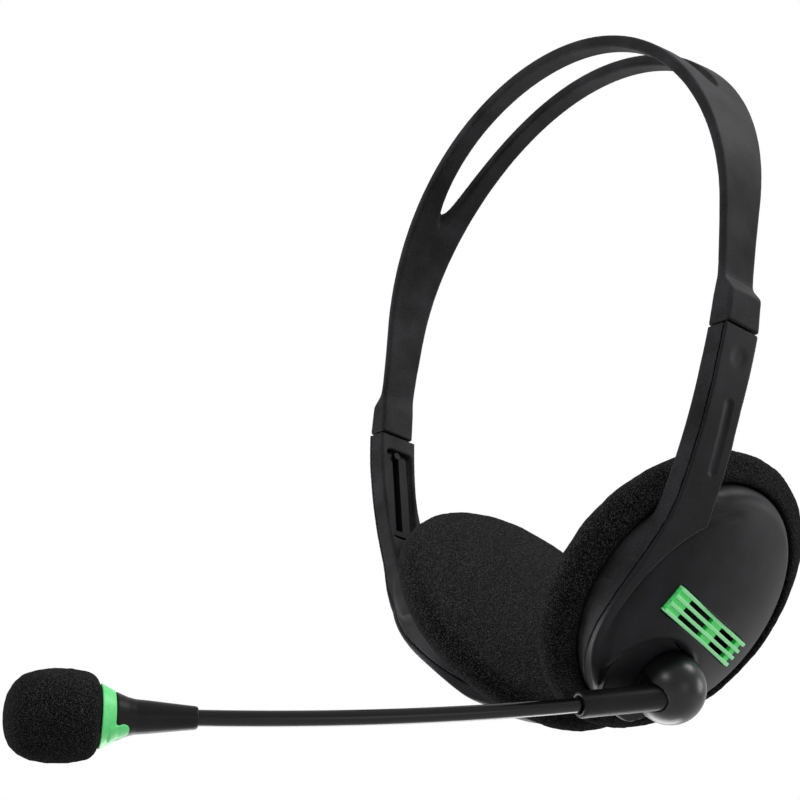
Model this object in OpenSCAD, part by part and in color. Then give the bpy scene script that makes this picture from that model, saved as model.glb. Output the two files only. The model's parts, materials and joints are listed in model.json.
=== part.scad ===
// Light on-ear headset with a boom microphone. Millimetres, +Z up, the wearer faces -Y.
// The wearer's left is +X. The origin lies on the mid-plane, inside the headband's arch.
// Both sides are one design, mirrored in X. Only the left cup carries the microphone boom.

/* [Headband] */
// Outer radius of the headband's arch
band_r = 56; // [52:0.5:62]
// Height of the arch's centre above the origin
band_centre_z = 15.3; // [10:0.5:20]
// Thickness of the headband at the top
band_top_t = 2.9; // [2.4:0.1:3.6]
// Thickness of the headband down its sides
band_side_t = 2; // [1.6:0.1:2.2]
// Width of the headband at the top
band_top_w = 19.8; // [17:0.2:24]
// Width of the headband down its sides
band_side_w = 9.4; // [9:0.1:10.4]
// Cant of the arch in degrees, which lifts its rear edge above its front edge
band_cant = 8; // [0:0.5:11]
// Width of the long opening at the top
slot_w = 9; // [4:0.2:9.4]
// Distance from the middle to each end of the long opening
slot_reach = 46.2; // [36:0.2:48]

/* [Shoulders and slides] */
// Thickness of the headband's thick end
shoulder_t = 5.6; // [5.2:0.1:7]
// Height of the thick end's lower face, below the origin
shoulder_z = -13.6; // [-15:0.1:-12.8]
// Height of the thick end
shoulder_h = 7.2; // [6:0.1:8]
// Width of the metal tongue
tongue_w = 6.8; // [6:0.1:7]
// Thickness of the metal tongue
tongue_t = 1.9; // [1.4:0.1:2]
// Length of tongue below the thick end
tongue_reach = 28.5; // [26:0.5:29]
// Depth to which the tongue is set in the thick end
tongue_set = 5; // [4:0.1:5.4]
// Tilt of the tongue from the vertical, in degrees
slide_tilt = 16; // [15.4:0.1:16.6]
// How far each arm slides out
slide_travel = 20; // [10:0.5:20]
// Clearance round the tongue in its channel
slide_clear = 0.15; // [0.1:0.01:0.2]
// Radius of the stop pin that runs in the tongue's slot
stop_pin_r = 0.9; // [0.6:0.05:1.2]

/* [Arms] */
// Thickness of the arm
arm_t = 5.2; // [5:0.1:6]
// Thickness of the arm's outer moulding
arm_skin_t = 1; // [0.8:0.05:1.2]
// Gap between the thick end and the arm when pushed in
arm_gap = 0.5; // [0.2:0.05:1]
// Distance of the arm's front face from the mid-plane
arm_front_y = 4.8; // [4.6:0.1:5.6]
// Distance of the arm's rear edge behind the mid-plane where it meets the cup
arm_foot_y = 6.4; // [5.6:0.1:7.4]
// How much further back the arm's inner part reaches than its outer moulding
arm_back = 0.8; // [0:0.1:1.2]
// Width of the window in the arm's inner face
window_w = 6; // [4:0.1:6.2]
// Length of the window in the arm's inner face
window_l = 24; // [15:0.5:26]

/* [Ear cups] */
// Distance of the cup's centre from the middle
cup_x = 23.6; // [23:0.1:25]
// Distance of the cup's centre behind the headband
cup_y = 20.7; // [20:0.1:21.4]
// Height of the cup's centre
cup_z = -57.8; // [-58.6:0.1:-57]
// Tilt of the cup from the vertical, in degrees
cup_tilt = 36; // [35:0.2:37]
// Turn of the cup about the vertical, in degrees
cup_yaw = 6; // [5:0.2:7]
// Outer radius of the cup's side wall
cup_r = 27.3; // [27:0.1:28]
// Thickness of the cup's side wall
cup_wall = 2; // [1.4:0.1:2.4]
// Height of the dome's crown above the cup's centre
dome_h = 13.4; // [13:0.1:14]
// Radius of the dome's curve
dome_r = 70; // [66:1:76]
// Thickness of the dome
dome_t = 1.6; // [1.2:0.1:2]
// How far the baffle plate, which the foam wraps, stands out past the cup's wall
baffle_lip = 1.6; // [1.5:0.1:3.3]
// Thickness of the baffle plate
baffle_t = 2; // [1.6:0.1:2.4]
// Radius of each sound hole
sound_hole_r = 1.1; // [0.7:0.05:1.3]
// Distance of the cup's screws from its centre
screw_ring_r = 23.2; // [22.9:0.1:23.5]

/* [Drivers] */
// Radius of the loudspeaker
driver_r = 15.5; // [13:0.1:16.5]
// Depth of the loudspeaker's basket
driver_h = 3.2; // [2.6:0.1:3.4]
// Radius of the loudspeaker's magnet
magnet_r = 7; // [5:0.1:8]
// Height of the loudspeaker's magnet
magnet_h = 2.4; // [1.6:0.1:2.8]

/* [Ear foams] */
// How far the ear foam's rim stands out past the cup's wall
foam_over = 5.8; // [5.5:0.1:7.1]
// Depth of the ear foam toward the head, at its rim
foam_rim = 3.8; // [3.4:0.1:5]
// Rise of the ear foam's crown above its rim
foam_crown = 2.5; // [1.5:0.1:4.5]
// Height to which the ear foam wraps behind the plate
foam_back = 3; // [2.6:0.1:3]
// Clearance between the foam and what it wraps
foam_clear = 0.3; // [0.25:0.01:0.4]

/* [Vent grille] */
// Length of the vent grille
vent_l = 30.6; // [26:0.2:31.4]
// Width of the vent grille
vent_w = 6.2; // [5:0.1:6.6]
// Width of each lengthwise rib
vent_rib_w = 0.8; // [0.5:0.05:0.9]
// Thickness of the vent grille
vent_t = 1.5; // [1.2:0.1:1.8]

/* [Boom pivot] */
// Radius of the flat boss under the pivot
boss_r = 10.2; // [9.8:0.1:10.6]
// Height of the boss above the cup's centre
boss_h = 10.5; // [10.2:0.1:10.8]
// Radius of the ball
ball_r = 7.55; // [7:0.05:7.8]
// Height of the ball's straight foot
ball_foot = 2.7; // [2.3:0.1:3]
// Radius of the bearing ring under the ball
ball_ring_r = 6.4; // [5:0.1:7]
// Radius of the pivot's shaft
shaft_r = 2; // [1.5:0.05:2.4]
// Running clearance round the shaft
shaft_clear = 0.05; // [0.03:0.01:0.08]

/* [Boom] */
// Direction in which the boom leaves the pivot, in degrees
boom_aim = 204.05; // [202:0.05:210]
// Height of the sleeve's line above the ball's foot
boom_rise = 2.9; // [2.4:0.1:3.4]
// Dip of the sleeve toward the cup, in degrees
boom_dip = 5.8; // [4.5:0.1:6]
// Radius of the sleeve
sleeve_r = 2.7; // [2.3:0.05:2.8]
// Length of the sleeve
sleeve_l = 22.9; // [16:0.2:30]
// Radius of the flexible neck
neck_r = 1.5; // [1.1:0.05:1.8]
// Length of the flexible neck
neck_l = 77; // [50:0.2:110]
// Angle by which the neck bends inward, in degrees
neck_bend = 10.5; // [2:0.5:24]

/* [Microphone] */
// Length of the microphone's housing
housing_l = 15; // [12:0.5:20]
// Radius of the housing where the neck enters
housing_r1 = 2.05; // [1.9:0.05:2.6]
// Radius of the housing's waist
housing_r2 = 3.1; // [2.7:0.05:3.4]
// Radius of the housing's mouth
housing_r3 = 4.45; // [3.9:0.05:4.8]
// Radius of the coloured ring at the windscreen
ring_r = 5.8; // [5:0.1:6.4]
// Length of the coloured ring
ring_l = 2.6; // [1.6:0.1:4]
// Radius of the microphone capsule
capsule_r = 3; // [2.4:0.1:3.4]
// Length of the capsule in front of the ring
capsule_l = 5; // [3:0.5:7]
// Radius of the foam windscreen
screen_r = 8.35; // [7.4:0.05:9.4]
// Length of the foam windscreen
screen_l = 16.5; // [13:0.1:20]

/* [Cable inlet] */
// Radius of the cable inlet's bore
inlet_r = 1.4; // [1:0.1:1.5]
// Length of the cable inlet's bore
inlet_l = 6; // [4.4:0.1:7]

/* [Hidden] */
$fn = 64;
big = 200;

// Headband's section: the inner arch sits lower, so the band thins down its sides.
band_in_r = band_r - band_side_t;
band_in_z = band_centre_z + band_r - band_top_t - band_in_r;
band_top_z = band_centre_z + band_r;
band_foot_z = shoulder_z + shoulder_h;
ramp_h = 3;
rivet_r = 0.8;
rivet_l = shoulder_t - 2.2;

// Slide: the tongue runs down and inward from the middle of the thick end's lower face.
shoulder_x = band_r - 0.75;
slot_from = 5.4;
slot_to = slot_from + slide_travel + 2 * stop_pin_r;
pin_s = slot_from + stop_pin_r;
pin_l = arm_t - 1.6;
window_from = 4.4;

// Arm's outer face in the XZ plane: two arcs that meet tangentially.
arc_turn = 27;
arc_a_r = 125;
arc_b_r = 69;
arc_a_x = band_r - 121.66;
arc_a_z = 5.55;
arc_b_x = arc_a_x + (arc_a_r - arc_b_r) * cos(arc_turn);
arc_b_z = arc_a_z - (arc_a_r - arc_b_r) * sin(arc_turn);
arm_top_z = shoulder_z - arm_gap;
arm_foot_z = -50.6;
seam = 0.02;

// Cup: dome's centre, ridge and heights, all in the cup's own frame.
// There x runs rearward, y up the cup and z outward.
dome_u = -5.5;
dome_z = dome_h - dome_r;
plate_lo = -baffle_t / 2;
plate_hi = baffle_t / 2;
wall_in_r = cup_r - cup_wall;
baffle_r = cup_r + baffle_lip;
foam_r = cup_r + foam_over;
ridge_r = 24.7;
ridge_u = 0.5;
ridge_v = -1.5;
seat_gap = 0.05;
stack_gap = 0.05;
cup_low = 2;
cup_high = 24;

// Boom pivot's place in the cup's frame.
ball_u = -0.3;
ball_v = -16.1;
ball_z = boss_h + ball_foot;
boss_u = dome_u;
boss_v = -17.3;
boss_t = 2;
ball_space = 0.5;
base_t = 0.3;
washer_t = 0.8;
shaft_in = 1.8;
shaft_out = 4.6;
boom_u = -2.45;
boom_v = -16.8;

// Vent grille's place in the cup's frame.
vent_u = 0.5;
vent_v = -1.8;
vent_turn = -12;
vent_lean = 5.2;
vent_z = 12.55;

// Boom: lengths along it, measured in its own plane.
sleeve_from = -1;
neck_from = sleeve_from + sleeve_l;
neck_bend_r = neck_l / (neck_bend * PI / 180);
neck_in = 4;
neck_out = 3;
neck_in_a = neck_in / neck_l * neck_bend;
neck_out_a = neck_out / neck_l * neck_bend;

// Cable inlet: its angle round the cup and its height.
inlet_a = -100;
inlet_z = 4.7;
inlet_boss_r = inlet_r + 1;

// ---- Places ----

// Cup's own frame, left side.
module at_cup() {
    translate([cup_x, cup_y, cup_z])
        rotate([0, 0, cup_yaw])
            rotate([0, cup_tilt, 0])
                rotate([90, 0, 90])
                    children();
}

// Slide's own frame: z runs down the tongue, x is the tongue's thickness, y its width.
module at_slide() {
    translate([shoulder_x, 0, shoulder_z])
        rotate([0, 180 + slide_tilt, 0])
            children();
}

// Boom's own frame: x runs along the boom, z points out from the cup.
module at_boom() {
    at_cup()
        translate([boom_u, boom_v, ball_z + boom_rise])
            rotate([0, 0, boom_aim])
                children();
}

module both_sides() {
    children();
    mirror([1, 0, 0]) children();
}

module right_side() {
    mirror([1, 0, 0]) children();
}

// An XZ outline drawn as 2-D x, y, made a slab from y0 to y1.
module slab_xz(y0, y1) {
    translate([0, y1, 0])
        rotate([90, 0, 0])
            linear_extrude(y1 - y0)
                children();
}

// A YZ outline drawn as 2-D x, y, made a slab from x0 to x1.
module slab_yz(x0, x1) {
    translate([x0, 0, 0])
        rotate([90, 0, 90])
            linear_extrude(x1 - x0)
                children();
}

// ---- Headband ----

function smooth(t) = t * t * (3 - 2 * t);
function band_blend(t) = 0.5 * t + 0.5 * smooth(t);
function band_half(z) =
    z <= 0 ? band_side_w / 2
    : band_side_w / 2 + (band_top_w - band_side_w) / 2 * band_blend(z / band_top_z);
function slot_half(x) = slot_w / 2 * sqrt(max(0, 1 - pow(abs(x) / slot_reach, 4)));

module arch_outline() {
    leg = 60;
    difference() {
        union() {
            translate([0, band_centre_z]) circle(band_r, $fn = 180);
            translate([-band_r, band_centre_z - leg])
                square([2 * band_r, leg]);
        }
        translate([0, band_in_z]) circle(band_in_r, $fn = 180);
        translate([-band_in_r, band_in_z - leg - 1])
            square([2 * band_in_r, leg + 1]);
    }
}

module band_side_outline() {
    n = 28;
    z0 = band_foot_z;
    rise = band_top_z + 4 - z0;
    zs = [for (i = [0:n]) z0 + rise * i / n];
    polygon(concat(
        [for (z = zs) [band_half(min(z, band_top_z)), z]],
        [for (i = [n:-1:0]) [-band_half(min(zs[i], band_top_z)), zs[i]]]
    ));
}

module slot_outline() {
    n = 40;
    xs = [for (i = [0:n]) -slot_reach * cos(180 * i / n)];
    polygon(concat(
        [for (i = [0:n - 1]) [xs[i], slot_half(xs[i])]],
        [for (i = [n:-1:1]) [xs[i], -slot_half(xs[i])]]
    ));
}

// Thick end of the headband, which holds the tongue.
module shoulder() {
    hi = shoulder_x + shoulder_t / 2;
    lo = shoulder_x - shoulder_t / 2;
    slab_xz(-band_side_w / 2, band_side_w / 2)
        polygon([
            [band_r, band_foot_z + ramp_h],
            [hi + 0.3, band_foot_z],
            [hi, shoulder_z],
            [lo, shoulder_z],
            [(lo + band_r - band_side_t) / 2, band_foot_z],
            [band_r - band_side_t, band_foot_z + ramp_h]
        ]);
}

module tongue_bar(l0, l1, w, t) {
    at_slide()
        translate([-t / 2, -w / 2, l0])
            cube([t, w, l1 - l0]);
}

module headband() {
    color("#1d1e20")
    difference() {
        union() {
            intersection() {
                translate([0, 0, band_centre_z])
                    rotate([band_cant, 0, 0])
                        translate([0, 0, -band_centre_z])
                            slab_xz(-big / 2, big / 2) arch_outline();
                slab_yz(-big / 2, big / 2) band_side_outline();
            }
            both_sides() shoulder();
        }
        translate([0, 0, band_centre_z]) linear_extrude(big) slot_outline();
        both_sides() tongue_bar(-tongue_set, 1, tongue_w, tongue_t);
        both_sides() rivet_at() cylinder(r = rivet_r, h = rivet_l, center = true);
    }
}

module rivet_at() {
    at_slide()
        translate([0, 0, -tongue_set / 2])
            rotate([0, 90, 0])
                children();
}

// ---- Slides ----

module tongue() {
    color("#8b8d90")
    difference() {
        tongue_bar(-tongue_set, tongue_reach, tongue_w, tongue_t);
        at_slide()
            translate([-5, -stop_pin_r - 0.1, slot_from])
                cube([10, 2 * stop_pin_r + 0.2, slot_to - slot_from]);
        rivet_at() cylinder(r = rivet_r, h = 20, center = true);
        at_slide()
            translate([-5, -tongue_w / 2 - 1, tongue_reach - 1.2])
                rotate([45, 0, 0])
                    cube([10, 2, 2], center = false);
    }
}

module left_slide_tongue() { tongue(); }
module right_slide_tongue() { right_side() tongue(); }

module tongue_rivets() {
    color("#9b9da0")
    both_sides() rivet_at() cylinder(r = rivet_r, h = rivet_l, center = true);
}

module stop_pin() {
    color("#9b9da0")
    at_slide()
        translate([0, 0, pin_s])
            rotate([0, 90, 0])
                cylinder(r = stop_pin_r, h = pin_l, center = true);
}

module left_stop_pin() { stop_pin(); }
module right_stop_pin() { right_side() stop_pin(); }

// ---- Arm and cup ----

// Everything inboard of the arm's outer face, drawn in by off.
module arm_outline(off) {
    difference() {
        union() {
            translate([arc_b_x, arc_b_z]) circle(arc_b_r - off, $fn = 180);
            intersection() {
                translate([arc_a_x, arc_a_z]) circle(arc_a_r - off, $fn = 180);
                translate([arc_a_x, arc_a_z])
                    polygon([
                        [0, 0],
                        [big * cos(arc_turn), -big * sin(arc_turn)],
                        [big, 0],
                        [big, big],
                        [0, big]
                    ]);
            }
        }
        translate([-big, arm_top_z]) square([2 * big, big]);
        translate([-big, -big]) square([big, 2 * big]);
    }
}

// Arm seen from the side: straight front, and a rear edge that widens slowly down the
// arm and then flares into the cup.
module arm_side_outline(back) {
    top_y = band_side_w / 2 + back;
    foot_y = arm_foot_y + back;
    widening = foot_y - top_y;
    polygon([
        [-arm_front_y, arm_top_z],
        [top_y, arm_top_z],
        [top_y + widening * 0.06, arm_foot_z + 21.6],
        [top_y + widening * 0.5, arm_foot_z + 10.6],
        [foot_y, arm_foot_z],
        [foot_y + 2.2, arm_foot_z - 5],
        [foot_y + 4.6, arm_foot_z - 8],
        [foot_y + 4.6, arm_foot_z - 13.4],
        [-arm_front_y, arm_foot_z - 13.4]
    ]);
}

module arm_slab(off0, off1, back) {
    intersection() {
        difference() {
            slab_xz(-30, 60) arm_outline(off0);
            slab_xz(-31, 61) arm_outline(off1);
        }
        slab_yz(0, big) arm_side_outline(back);
    }
}

// Circle on the cup's face inside which the dome lies, below the arm and the rim.
module dome_field() {
    at_cup()
        translate([ridge_u, ridge_v, -10])
            cylinder(r = ridge_r, h = 40, $fn = 96);
}

module cup_disc(r, z0, z1) {
    at_cup() translate([0, 0, z0]) cylinder(r = r, h = z1 - z0, $fn = 96);
}

module dome_ball(off) {
    at_cup()
        translate([dome_u, 0, dome_z])
            sphere(r = dome_r - off, $fn = 128);
}

// Raised rim along the cup's front, a crescent that runs on from the arm.
module ridge(r) {
    intersection() {
        difference() {
            cup_disc(r, cup_low, cup_high);
            dome_field();
        }
        slab_xz(-30, 60) arm_outline(0);
        at_cup() translate([-60, -60, 0]) cube([50, 72, 40]);
    }
}

// Outer moulding before its fittings: the arm's outer skin, the rim and the dome.
module cover_body() {
    difference() {
        arm_slab(0, arm_skin_t, 0);
        dome_field();
    }
    difference() {
        ridge(cup_r);
        dome_ball(dome_t);
    }
    difference() {
        intersection() {
            cup_disc(cup_r, cup_low, cup_high);
            dome_ball(0);
        }
        dome_ball(dome_t);
    }
}

// Bed of the vent grille, cut down into the dome.
module at_vent() {
    at_cup()
        translate([vent_u, vent_v, vent_z])
            rotate([0, 0, vent_turn])
                rotate([0, vent_lean, 0])
                    children();
}

module vent_block(grow, z0, z1) {
    at_vent()
        translate([-vent_l / 2 - grow, -vent_w / 2 - grow, z0])
            cube([vent_l + 2 * grow, vent_w + 2 * grow, z1 - z0]);
}

module screw_places() {
    for (a = [100, 215, 325])
        at_cup()
            rotate([0, 0, a])
                translate([screw_ring_r, 0, 0])
                    children();
}

// Room of the boss: its own disc and the circle that the ball turns in.
module boss_place(grow, z0, z1) {
    at_cup()
        translate([0, 0, z0]) {
            translate([boss_u, boss_v, 0]) cylinder(r = boss_r + grow, h = z1 - z0);
            translate([ball_u, ball_v, 0]) cylinder(r = ball_r + ball_space + grow, h = z1 - z0);
        }
}

module cup_cover(with_boom) {
    difference() {
        union() {
            difference() {
                cover_body();
                tongue_bar(-1, tongue_reach + 1.2, tongue_w + 2 * slide_clear, tongue_t + 2 * slide_clear);
                vent_block(0.05, -vent_t, 6);
                if (with_boom) boss_place(0, boss_h, cup_high);
            }
            if (with_boom)
                intersection() {
                    cup_disc(cup_r, cup_low, cup_high);
                    boss_place(0, boss_h - boss_t, boss_h);
                }
            intersection() {
                vent_block(1.2, -vent_t - 1, -vent_t);
                cup_disc(wall_in_r - 0.2, cup_low, cup_high);
            }
        }
        if (with_boom)
            at_cup()
                translate([ball_u, ball_v, 0])
                    cylinder(r = shaft_r + shaft_clear, h = cup_high);
        at_slide()
            translate([0, 0, pin_s])
                rotate([0, 90, 0])
                    cylinder(r = stop_pin_r, h = pin_l, center = true);
    }
}

module left_cup_cover() { color("#232427") cup_cover(true); }
module right_cup_cover() { color("#232427") right_side() cup_cover(false); }

// Inner moulding: the arm's inner part with the tongue's channel, and the cup's side wall.
module shell_body() {
    difference() {
        arm_slab(arm_skin_t + seam, arm_t, arm_back);
        dome_field();
    }
    difference() {
        intersection() {
            cup_disc(cup_r, plate_hi, cup_high);
            dome_ball(dome_t + seat_gap);
        }
        cup_disc(wall_in_r, 0, cup_high);
    }
    intersection() {
        screw_places() cylinder(r = 2.6, h = 5);
        cup_disc(wall_in_r, plate_hi, cup_high);
    }
}

module cup_shell(with_inlet) {
    difference() {
        union() {
            shell_body();
            if (with_inlet)
                intersection() {
                    at_cup()
                        rotate([0, 0, inlet_a])
                            translate([cup_r - inlet_l, 0, inlet_z])
                                rotate([0, 90, 0])
                                    cylinder(r = inlet_boss_r, h = inlet_l);
                    cup_disc(cup_r, plate_hi, cup_high);
                }
        }
        cover_keep_out();
        tongue_bar(-1, tongue_reach + 1.2, tongue_w + 2 * slide_clear, tongue_t + 2 * slide_clear);
        at_slide()
            translate([0, -window_w / 2, window_from])
                cube([10, window_w, window_l]);
        at_slide()
            translate([0, 0, pin_s])
                rotate([0, 90, 0])
                    cylinder(r = stop_pin_r, h = pin_l, center = true);
        screw_places() translate([0, 0, -3]) cylinder(r = 0.9, h = 8);
        if (with_inlet)
            at_cup()
                rotate([0, 0, inlet_a])
                    translate([cup_r - inlet_l - 1, 0, inlet_z])
                        rotate([0, 90, 0])
                            cylinder(r = inlet_r, h = inlet_l + 4);
    }
}

// Room that the outer moulding takes, for the inner one to keep clear of.
module cover_keep_out() {
    vent_block(1.2 + seat_gap, -vent_t - 1 - seat_gap, 6);
    boss_place(seat_gap, boss_h - boss_t - seat_gap, cup_high);
    difference() {
        cup_disc(cup_r + seat_gap, cup_low, cup_high);
        dome_ball(dome_t + seat_gap);
    }
}

module left_cup_shell() { color("#1f2022") cup_shell(true); }
module right_cup_shell() { color("#1f2022") right_side() cup_shell(false); }

// ---- Baffle, driver and screws ----

module baffle() {
    difference() {
        cup_disc(baffle_r, plate_lo, plate_hi);
        for (ring = [1:2])
            for (i = [0:ring * 6 - 1])
                at_cup()
                    rotate([0, 0, 60 * i / ring])
                        translate([ring * 5, 0, -5])
                            cylinder(r = sound_hole_r, h = 10, $fn = 24);
        screw_places() translate([0, 0, -5]) cylinder(r = 1.2, h = 10);
    }
}

module left_baffle() { color("#2c2d30") baffle(); }
module right_baffle() { color("#2c2d30") right_side() baffle(); }

module driver_basket() {
    z0 = plate_hi;
    difference() {
        cup_disc(driver_r, z0, z0 + driver_h);
        cup_disc(driver_r - 1.4, z0 - 1, z0 + driver_h - 1);
        cup_disc(magnet_r + stack_gap, z0 - 1, z0 + driver_h + 1);
        for (i = [0:5])
            at_cup()
                rotate([0, 0, 60 * i])
                    translate([(driver_r + magnet_r) / 2 - 0.4, 0, 0])
                        cylinder(r = 1.8, h = 20, $fn = 24);
    }
}

module left_driver_basket() { color("#6b6e72") driver_basket(); }
module right_driver_basket() { color("#6b6e72") right_side() driver_basket(); }

module driver_magnet() {
    z1 = plate_hi + driver_h;
    cup_disc(magnet_r, z1 - 1, z1 - 1 + magnet_h);
}

module left_driver_magnet() { color("#9a9ca0") driver_magnet(); }
module right_driver_magnet() { color("#9a9ca0") right_side() driver_magnet(); }

module driver_cone() {
    z0 = plate_hi + 0.6;
    at_cup()
        rotate_extrude($fn = 96)
            polygon([
                [0, z0 + 0.7],
                [magnet_r * 0.6, z0 + 0.3],
                [magnet_r * 0.7, z0],
                [driver_r - 1.4, z0],
                [driver_r - 1.4, z0 + 0.3],
                [magnet_r * 0.7 + 0.2, z0 + 0.3],
                [magnet_r * 0.6 + 0.1, z0 + 0.6],
                [0, z0 + 1]
            ]);
}

module left_driver_cone() { color("#b9bcc2") driver_cone(); }
module right_driver_cone() { color("#b9bcc2") right_side() driver_cone(); }

// Screws enter from the head side, with their heads sunk in the foam's pocket.
module cup_screws() {
    screw_places()
        translate([0, 0, plate_lo])
            union() {
                cylinder(r = 0.9, h = baffle_t + 3.4);
                translate([0, 0, -0.01]) cylinder(r = 1.2, h = baffle_t - 0.4);
            }
}

module left_cup_screws() { color("#b0b2b5") cup_screws(); }
module right_cup_screws() { color("#b0b2b5") right_side() cup_screws(); }

// ---- Ear foam ----

// A pillow that wraps the baffle plate: crown toward the head, drawn-in rim, open back.
// Points run from the crown's centre round the outside and back through the pocket.
function foam_out(t) =
    t <= 0.5
    ? let (r = (foam_r - foam_rim) * t * 2)
      [r, -foam_rim - foam_crown * (1 - pow(t * 2, 2.4))]
    : t <= 0.86
    ? let (a = -90 + 150 * (t - 0.5) / 0.36)
      [foam_r - foam_rim + foam_rim * cos(a), foam_rim * sin(a)]
    : [foam_r - foam_rim + foam_rim * 0.5 - (t - 0.86) / 0.14 * 0.6, foam_back];
foam_pocket = [
    [cup_r + foam_clear, foam_back],
    [cup_r + foam_clear, plate_hi + foam_clear],
    [baffle_r + foam_clear, plate_hi + foam_clear],
    [baffle_r + foam_clear, plate_lo - foam_clear],
    [baffle_r * 0.5, plate_lo - foam_clear]
];
foam_n = 13;
foam_seg = 36;
foam_ring = concat([for (j = [1:foam_n]) foam_out(j / foam_n)], foam_pocket);
foam_m = len(foam_ring);
// Slight gathers round the rim, where the foam is drawn over the plate.
function gather(p, a) = p[0] > baffle_r + 1 ? 1 + 0.004 * cos(9 * a) : 1;
foam_pts = concat(
    [[0, 0, -foam_rim - foam_crown]],
    [for (p = foam_ring)
        for (i = [0:foam_seg - 1])
            let (a = 360 * i / foam_seg)
            [p[0] * gather(p, a) * cos(a), p[0] * gather(p, a) * sin(a), p[1]]],
    [[0, 0, plate_lo - foam_clear]]
);
function ring_at(j, i) = 1 + j * foam_seg + (i % foam_seg);
foam_faces = concat(
    [for (i = [0:foam_seg - 1]) [0, ring_at(0, i), ring_at(0, i + 1)]],
    [for (j = [0:foam_m - 2])
        for (i = [0:foam_seg - 1])
            [ring_at(j, i), ring_at(j + 1, i), ring_at(j + 1, i + 1)]],
    [for (j = [0:foam_m - 2])
        for (i = [0:foam_seg - 1])
            [ring_at(j, i), ring_at(j + 1, i + 1), ring_at(j, i + 1)]],
    [for (i = [0:foam_seg - 1])
        [1 + foam_m * foam_seg, ring_at(foam_m - 1, i + 1), ring_at(foam_m - 1, i)]]
);

module ear_foam() {
    at_cup() polyhedron(points = foam_pts, faces = foam_faces);
}

module left_ear_foam() { color("#161616") ear_foam(); }
module right_ear_foam() { color("#161616") right_side() ear_foam(); }

// ---- Vent grille ----

// A frameless grille of lengthwise ribs with three rows of slots between them.
module vent_grille() {
    pitch = (vent_w - vent_rib_w) / 3;
    row_w = pitch - vent_rib_w;
    difference() {
        vent_block(0, -vent_t, 0);
        for (k = [0:2])
            at_vent()
                translate([-vent_l / 2 - 1, -vent_w / 2 + vent_rib_w + k * pitch, -0.5])
                    cube([vent_l + 2, row_w, 2]);
        for (k = [0:2])
            at_vent()
                translate([-vent_l / 2 + 2, -vent_w / 2 + vent_rib_w + k * pitch, -3])
                    cube([vent_l * 0.5, row_w, 6]);
        for (k = [0:2])
            at_vent()
                translate([vent_l / 2 - vent_l * 0.34, -vent_w / 2 + vent_rib_w + k * pitch, -3])
                    cube([vent_l * 0.22, row_w, 6]);
    }
}

module left_vent_grille() { color("#3fdc66") vent_grille(); }
module right_vent_grille() { color("#3fdc66") right_side() vent_grille(); }

// ---- Boom pivot ----

module boom_base_ring() {
    color("#26272a")
    at_cup()
        translate([ball_u, ball_v, boss_h])
            difference() {
                cylinder(r = ball_ring_r, h = base_t);
                translate([0, 0, -1]) cylinder(r = shaft_r + shaft_clear, h = base_t + 2);
            }
}

module boom_ball() {
    color("#2a2b2e")
    difference() {
        at_cup()
            translate([ball_u, ball_v, 0]) {
                intersection() {
                    translate([0, 0, ball_z]) sphere(r = ball_r, $fn = 96);
                    translate([-20, -20, ball_z]) cube([40, 40, 40]);
                }
                translate([0, 0, boss_h + base_t + stack_gap])
                    cylinder(r = ball_r, h = ball_foot - base_t - stack_gap, $fn = 96);
            }
        at_boom() boom_line() cylinder(r = sleeve_r, h = 60);
        at_cup()
            translate([ball_u, ball_v, 0])
                cylinder(r = shaft_r, h = boss_h + base_t + shaft_in);
    }
}

// Shaft of the pivot, fixed in the ball and turning in the dome.
module boom_shaft() {
    color("#a0a2a6")
    at_cup()
        translate([ball_u, ball_v, boss_h - shaft_out])
            cylinder(r = shaft_r, h = shaft_out + base_t + shaft_in);
}

module boom_friction_washer() {
    color("#d8d4c8")
    at_cup()
        translate([ball_u, ball_v, boss_h - boss_t - washer_t - stack_gap])
            difference() {
                cylinder(r = shaft_r + 1.9, h = washer_t);
                translate([0, 0, -1]) cylinder(r = shaft_r + shaft_clear, h = 3);
            }
}

module boom_retainer() {
    color("#8b8d90")
    at_cup()
        translate([ball_u, ball_v, boss_h - boss_t - washer_t - 1 - 2 * stack_gap])
            difference() {
                cylinder(r = shaft_r + 1.6, h = 1);
                translate([0, 0, -1]) cylinder(r = shaft_r, h = 3);
            }
}

// ---- Boom and microphone ----

// Straight start of the boom: z runs along it.
module boom_line() {
    rotate([0, 90 + boom_dip, 0])
        translate([0, 0, sleeve_from])
            children();
}

// End of the neck: z runs along the boom from there.
module boom_end() {
    rotate([0, boom_dip, 0])
        translate([neck_from, 0, -neck_bend_r])
            rotate([0, neck_bend, 0])
                translate([0, 0, neck_bend_r])
                    rotate([0, 90, 0])
                        children();
}

module boom_sleeve() {
    color("#131313")
    at_boom() boom_line()
        difference() {
            cylinder(r = sleeve_r, h = sleeve_l);
            translate([0, 0, sleeve_l - neck_in - 0.1])
                cylinder(r = neck_r + stack_gap, h = neck_in + 1);
        }
}

module boom_neck() {
    color("#101010")
    at_boom()
        rotate([0, boom_dip, 0])
            translate([neck_from, 0, -neck_bend_r])
                rotate([-90, 0, 0])
                    rotate([0, 0, -90 - neck_in_a])
                        rotate_extrude(angle = neck_in_a + neck_bend + neck_out_a, $fn = 360)
                            translate([neck_bend_r, 0])
                                circle(neck_r);
}

module mic_housing() {
    color("#161616")
    at_boom() boom_end()
        difference() {
            rotate_extrude($fn = 64)
                polygon([
                    [0, 0],
                    [housing_r1, 0],
                    [housing_r1 + 0.15, 1],
                    [housing_r2 - 0.1, housing_l * 0.6],
                    [housing_r2, housing_l * 0.75],
                    [housing_r2 + 0.35, housing_l * 0.85],
                    [housing_r3, housing_l],
                    [0, housing_l]
                ]);
            translate([0, 0, -1]) cylinder(r = neck_r + stack_gap, h = neck_out + 1.1);
            translate([0, 0, housing_l - 2]) cylinder(r = capsule_r, h = 5);
        }
}

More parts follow.
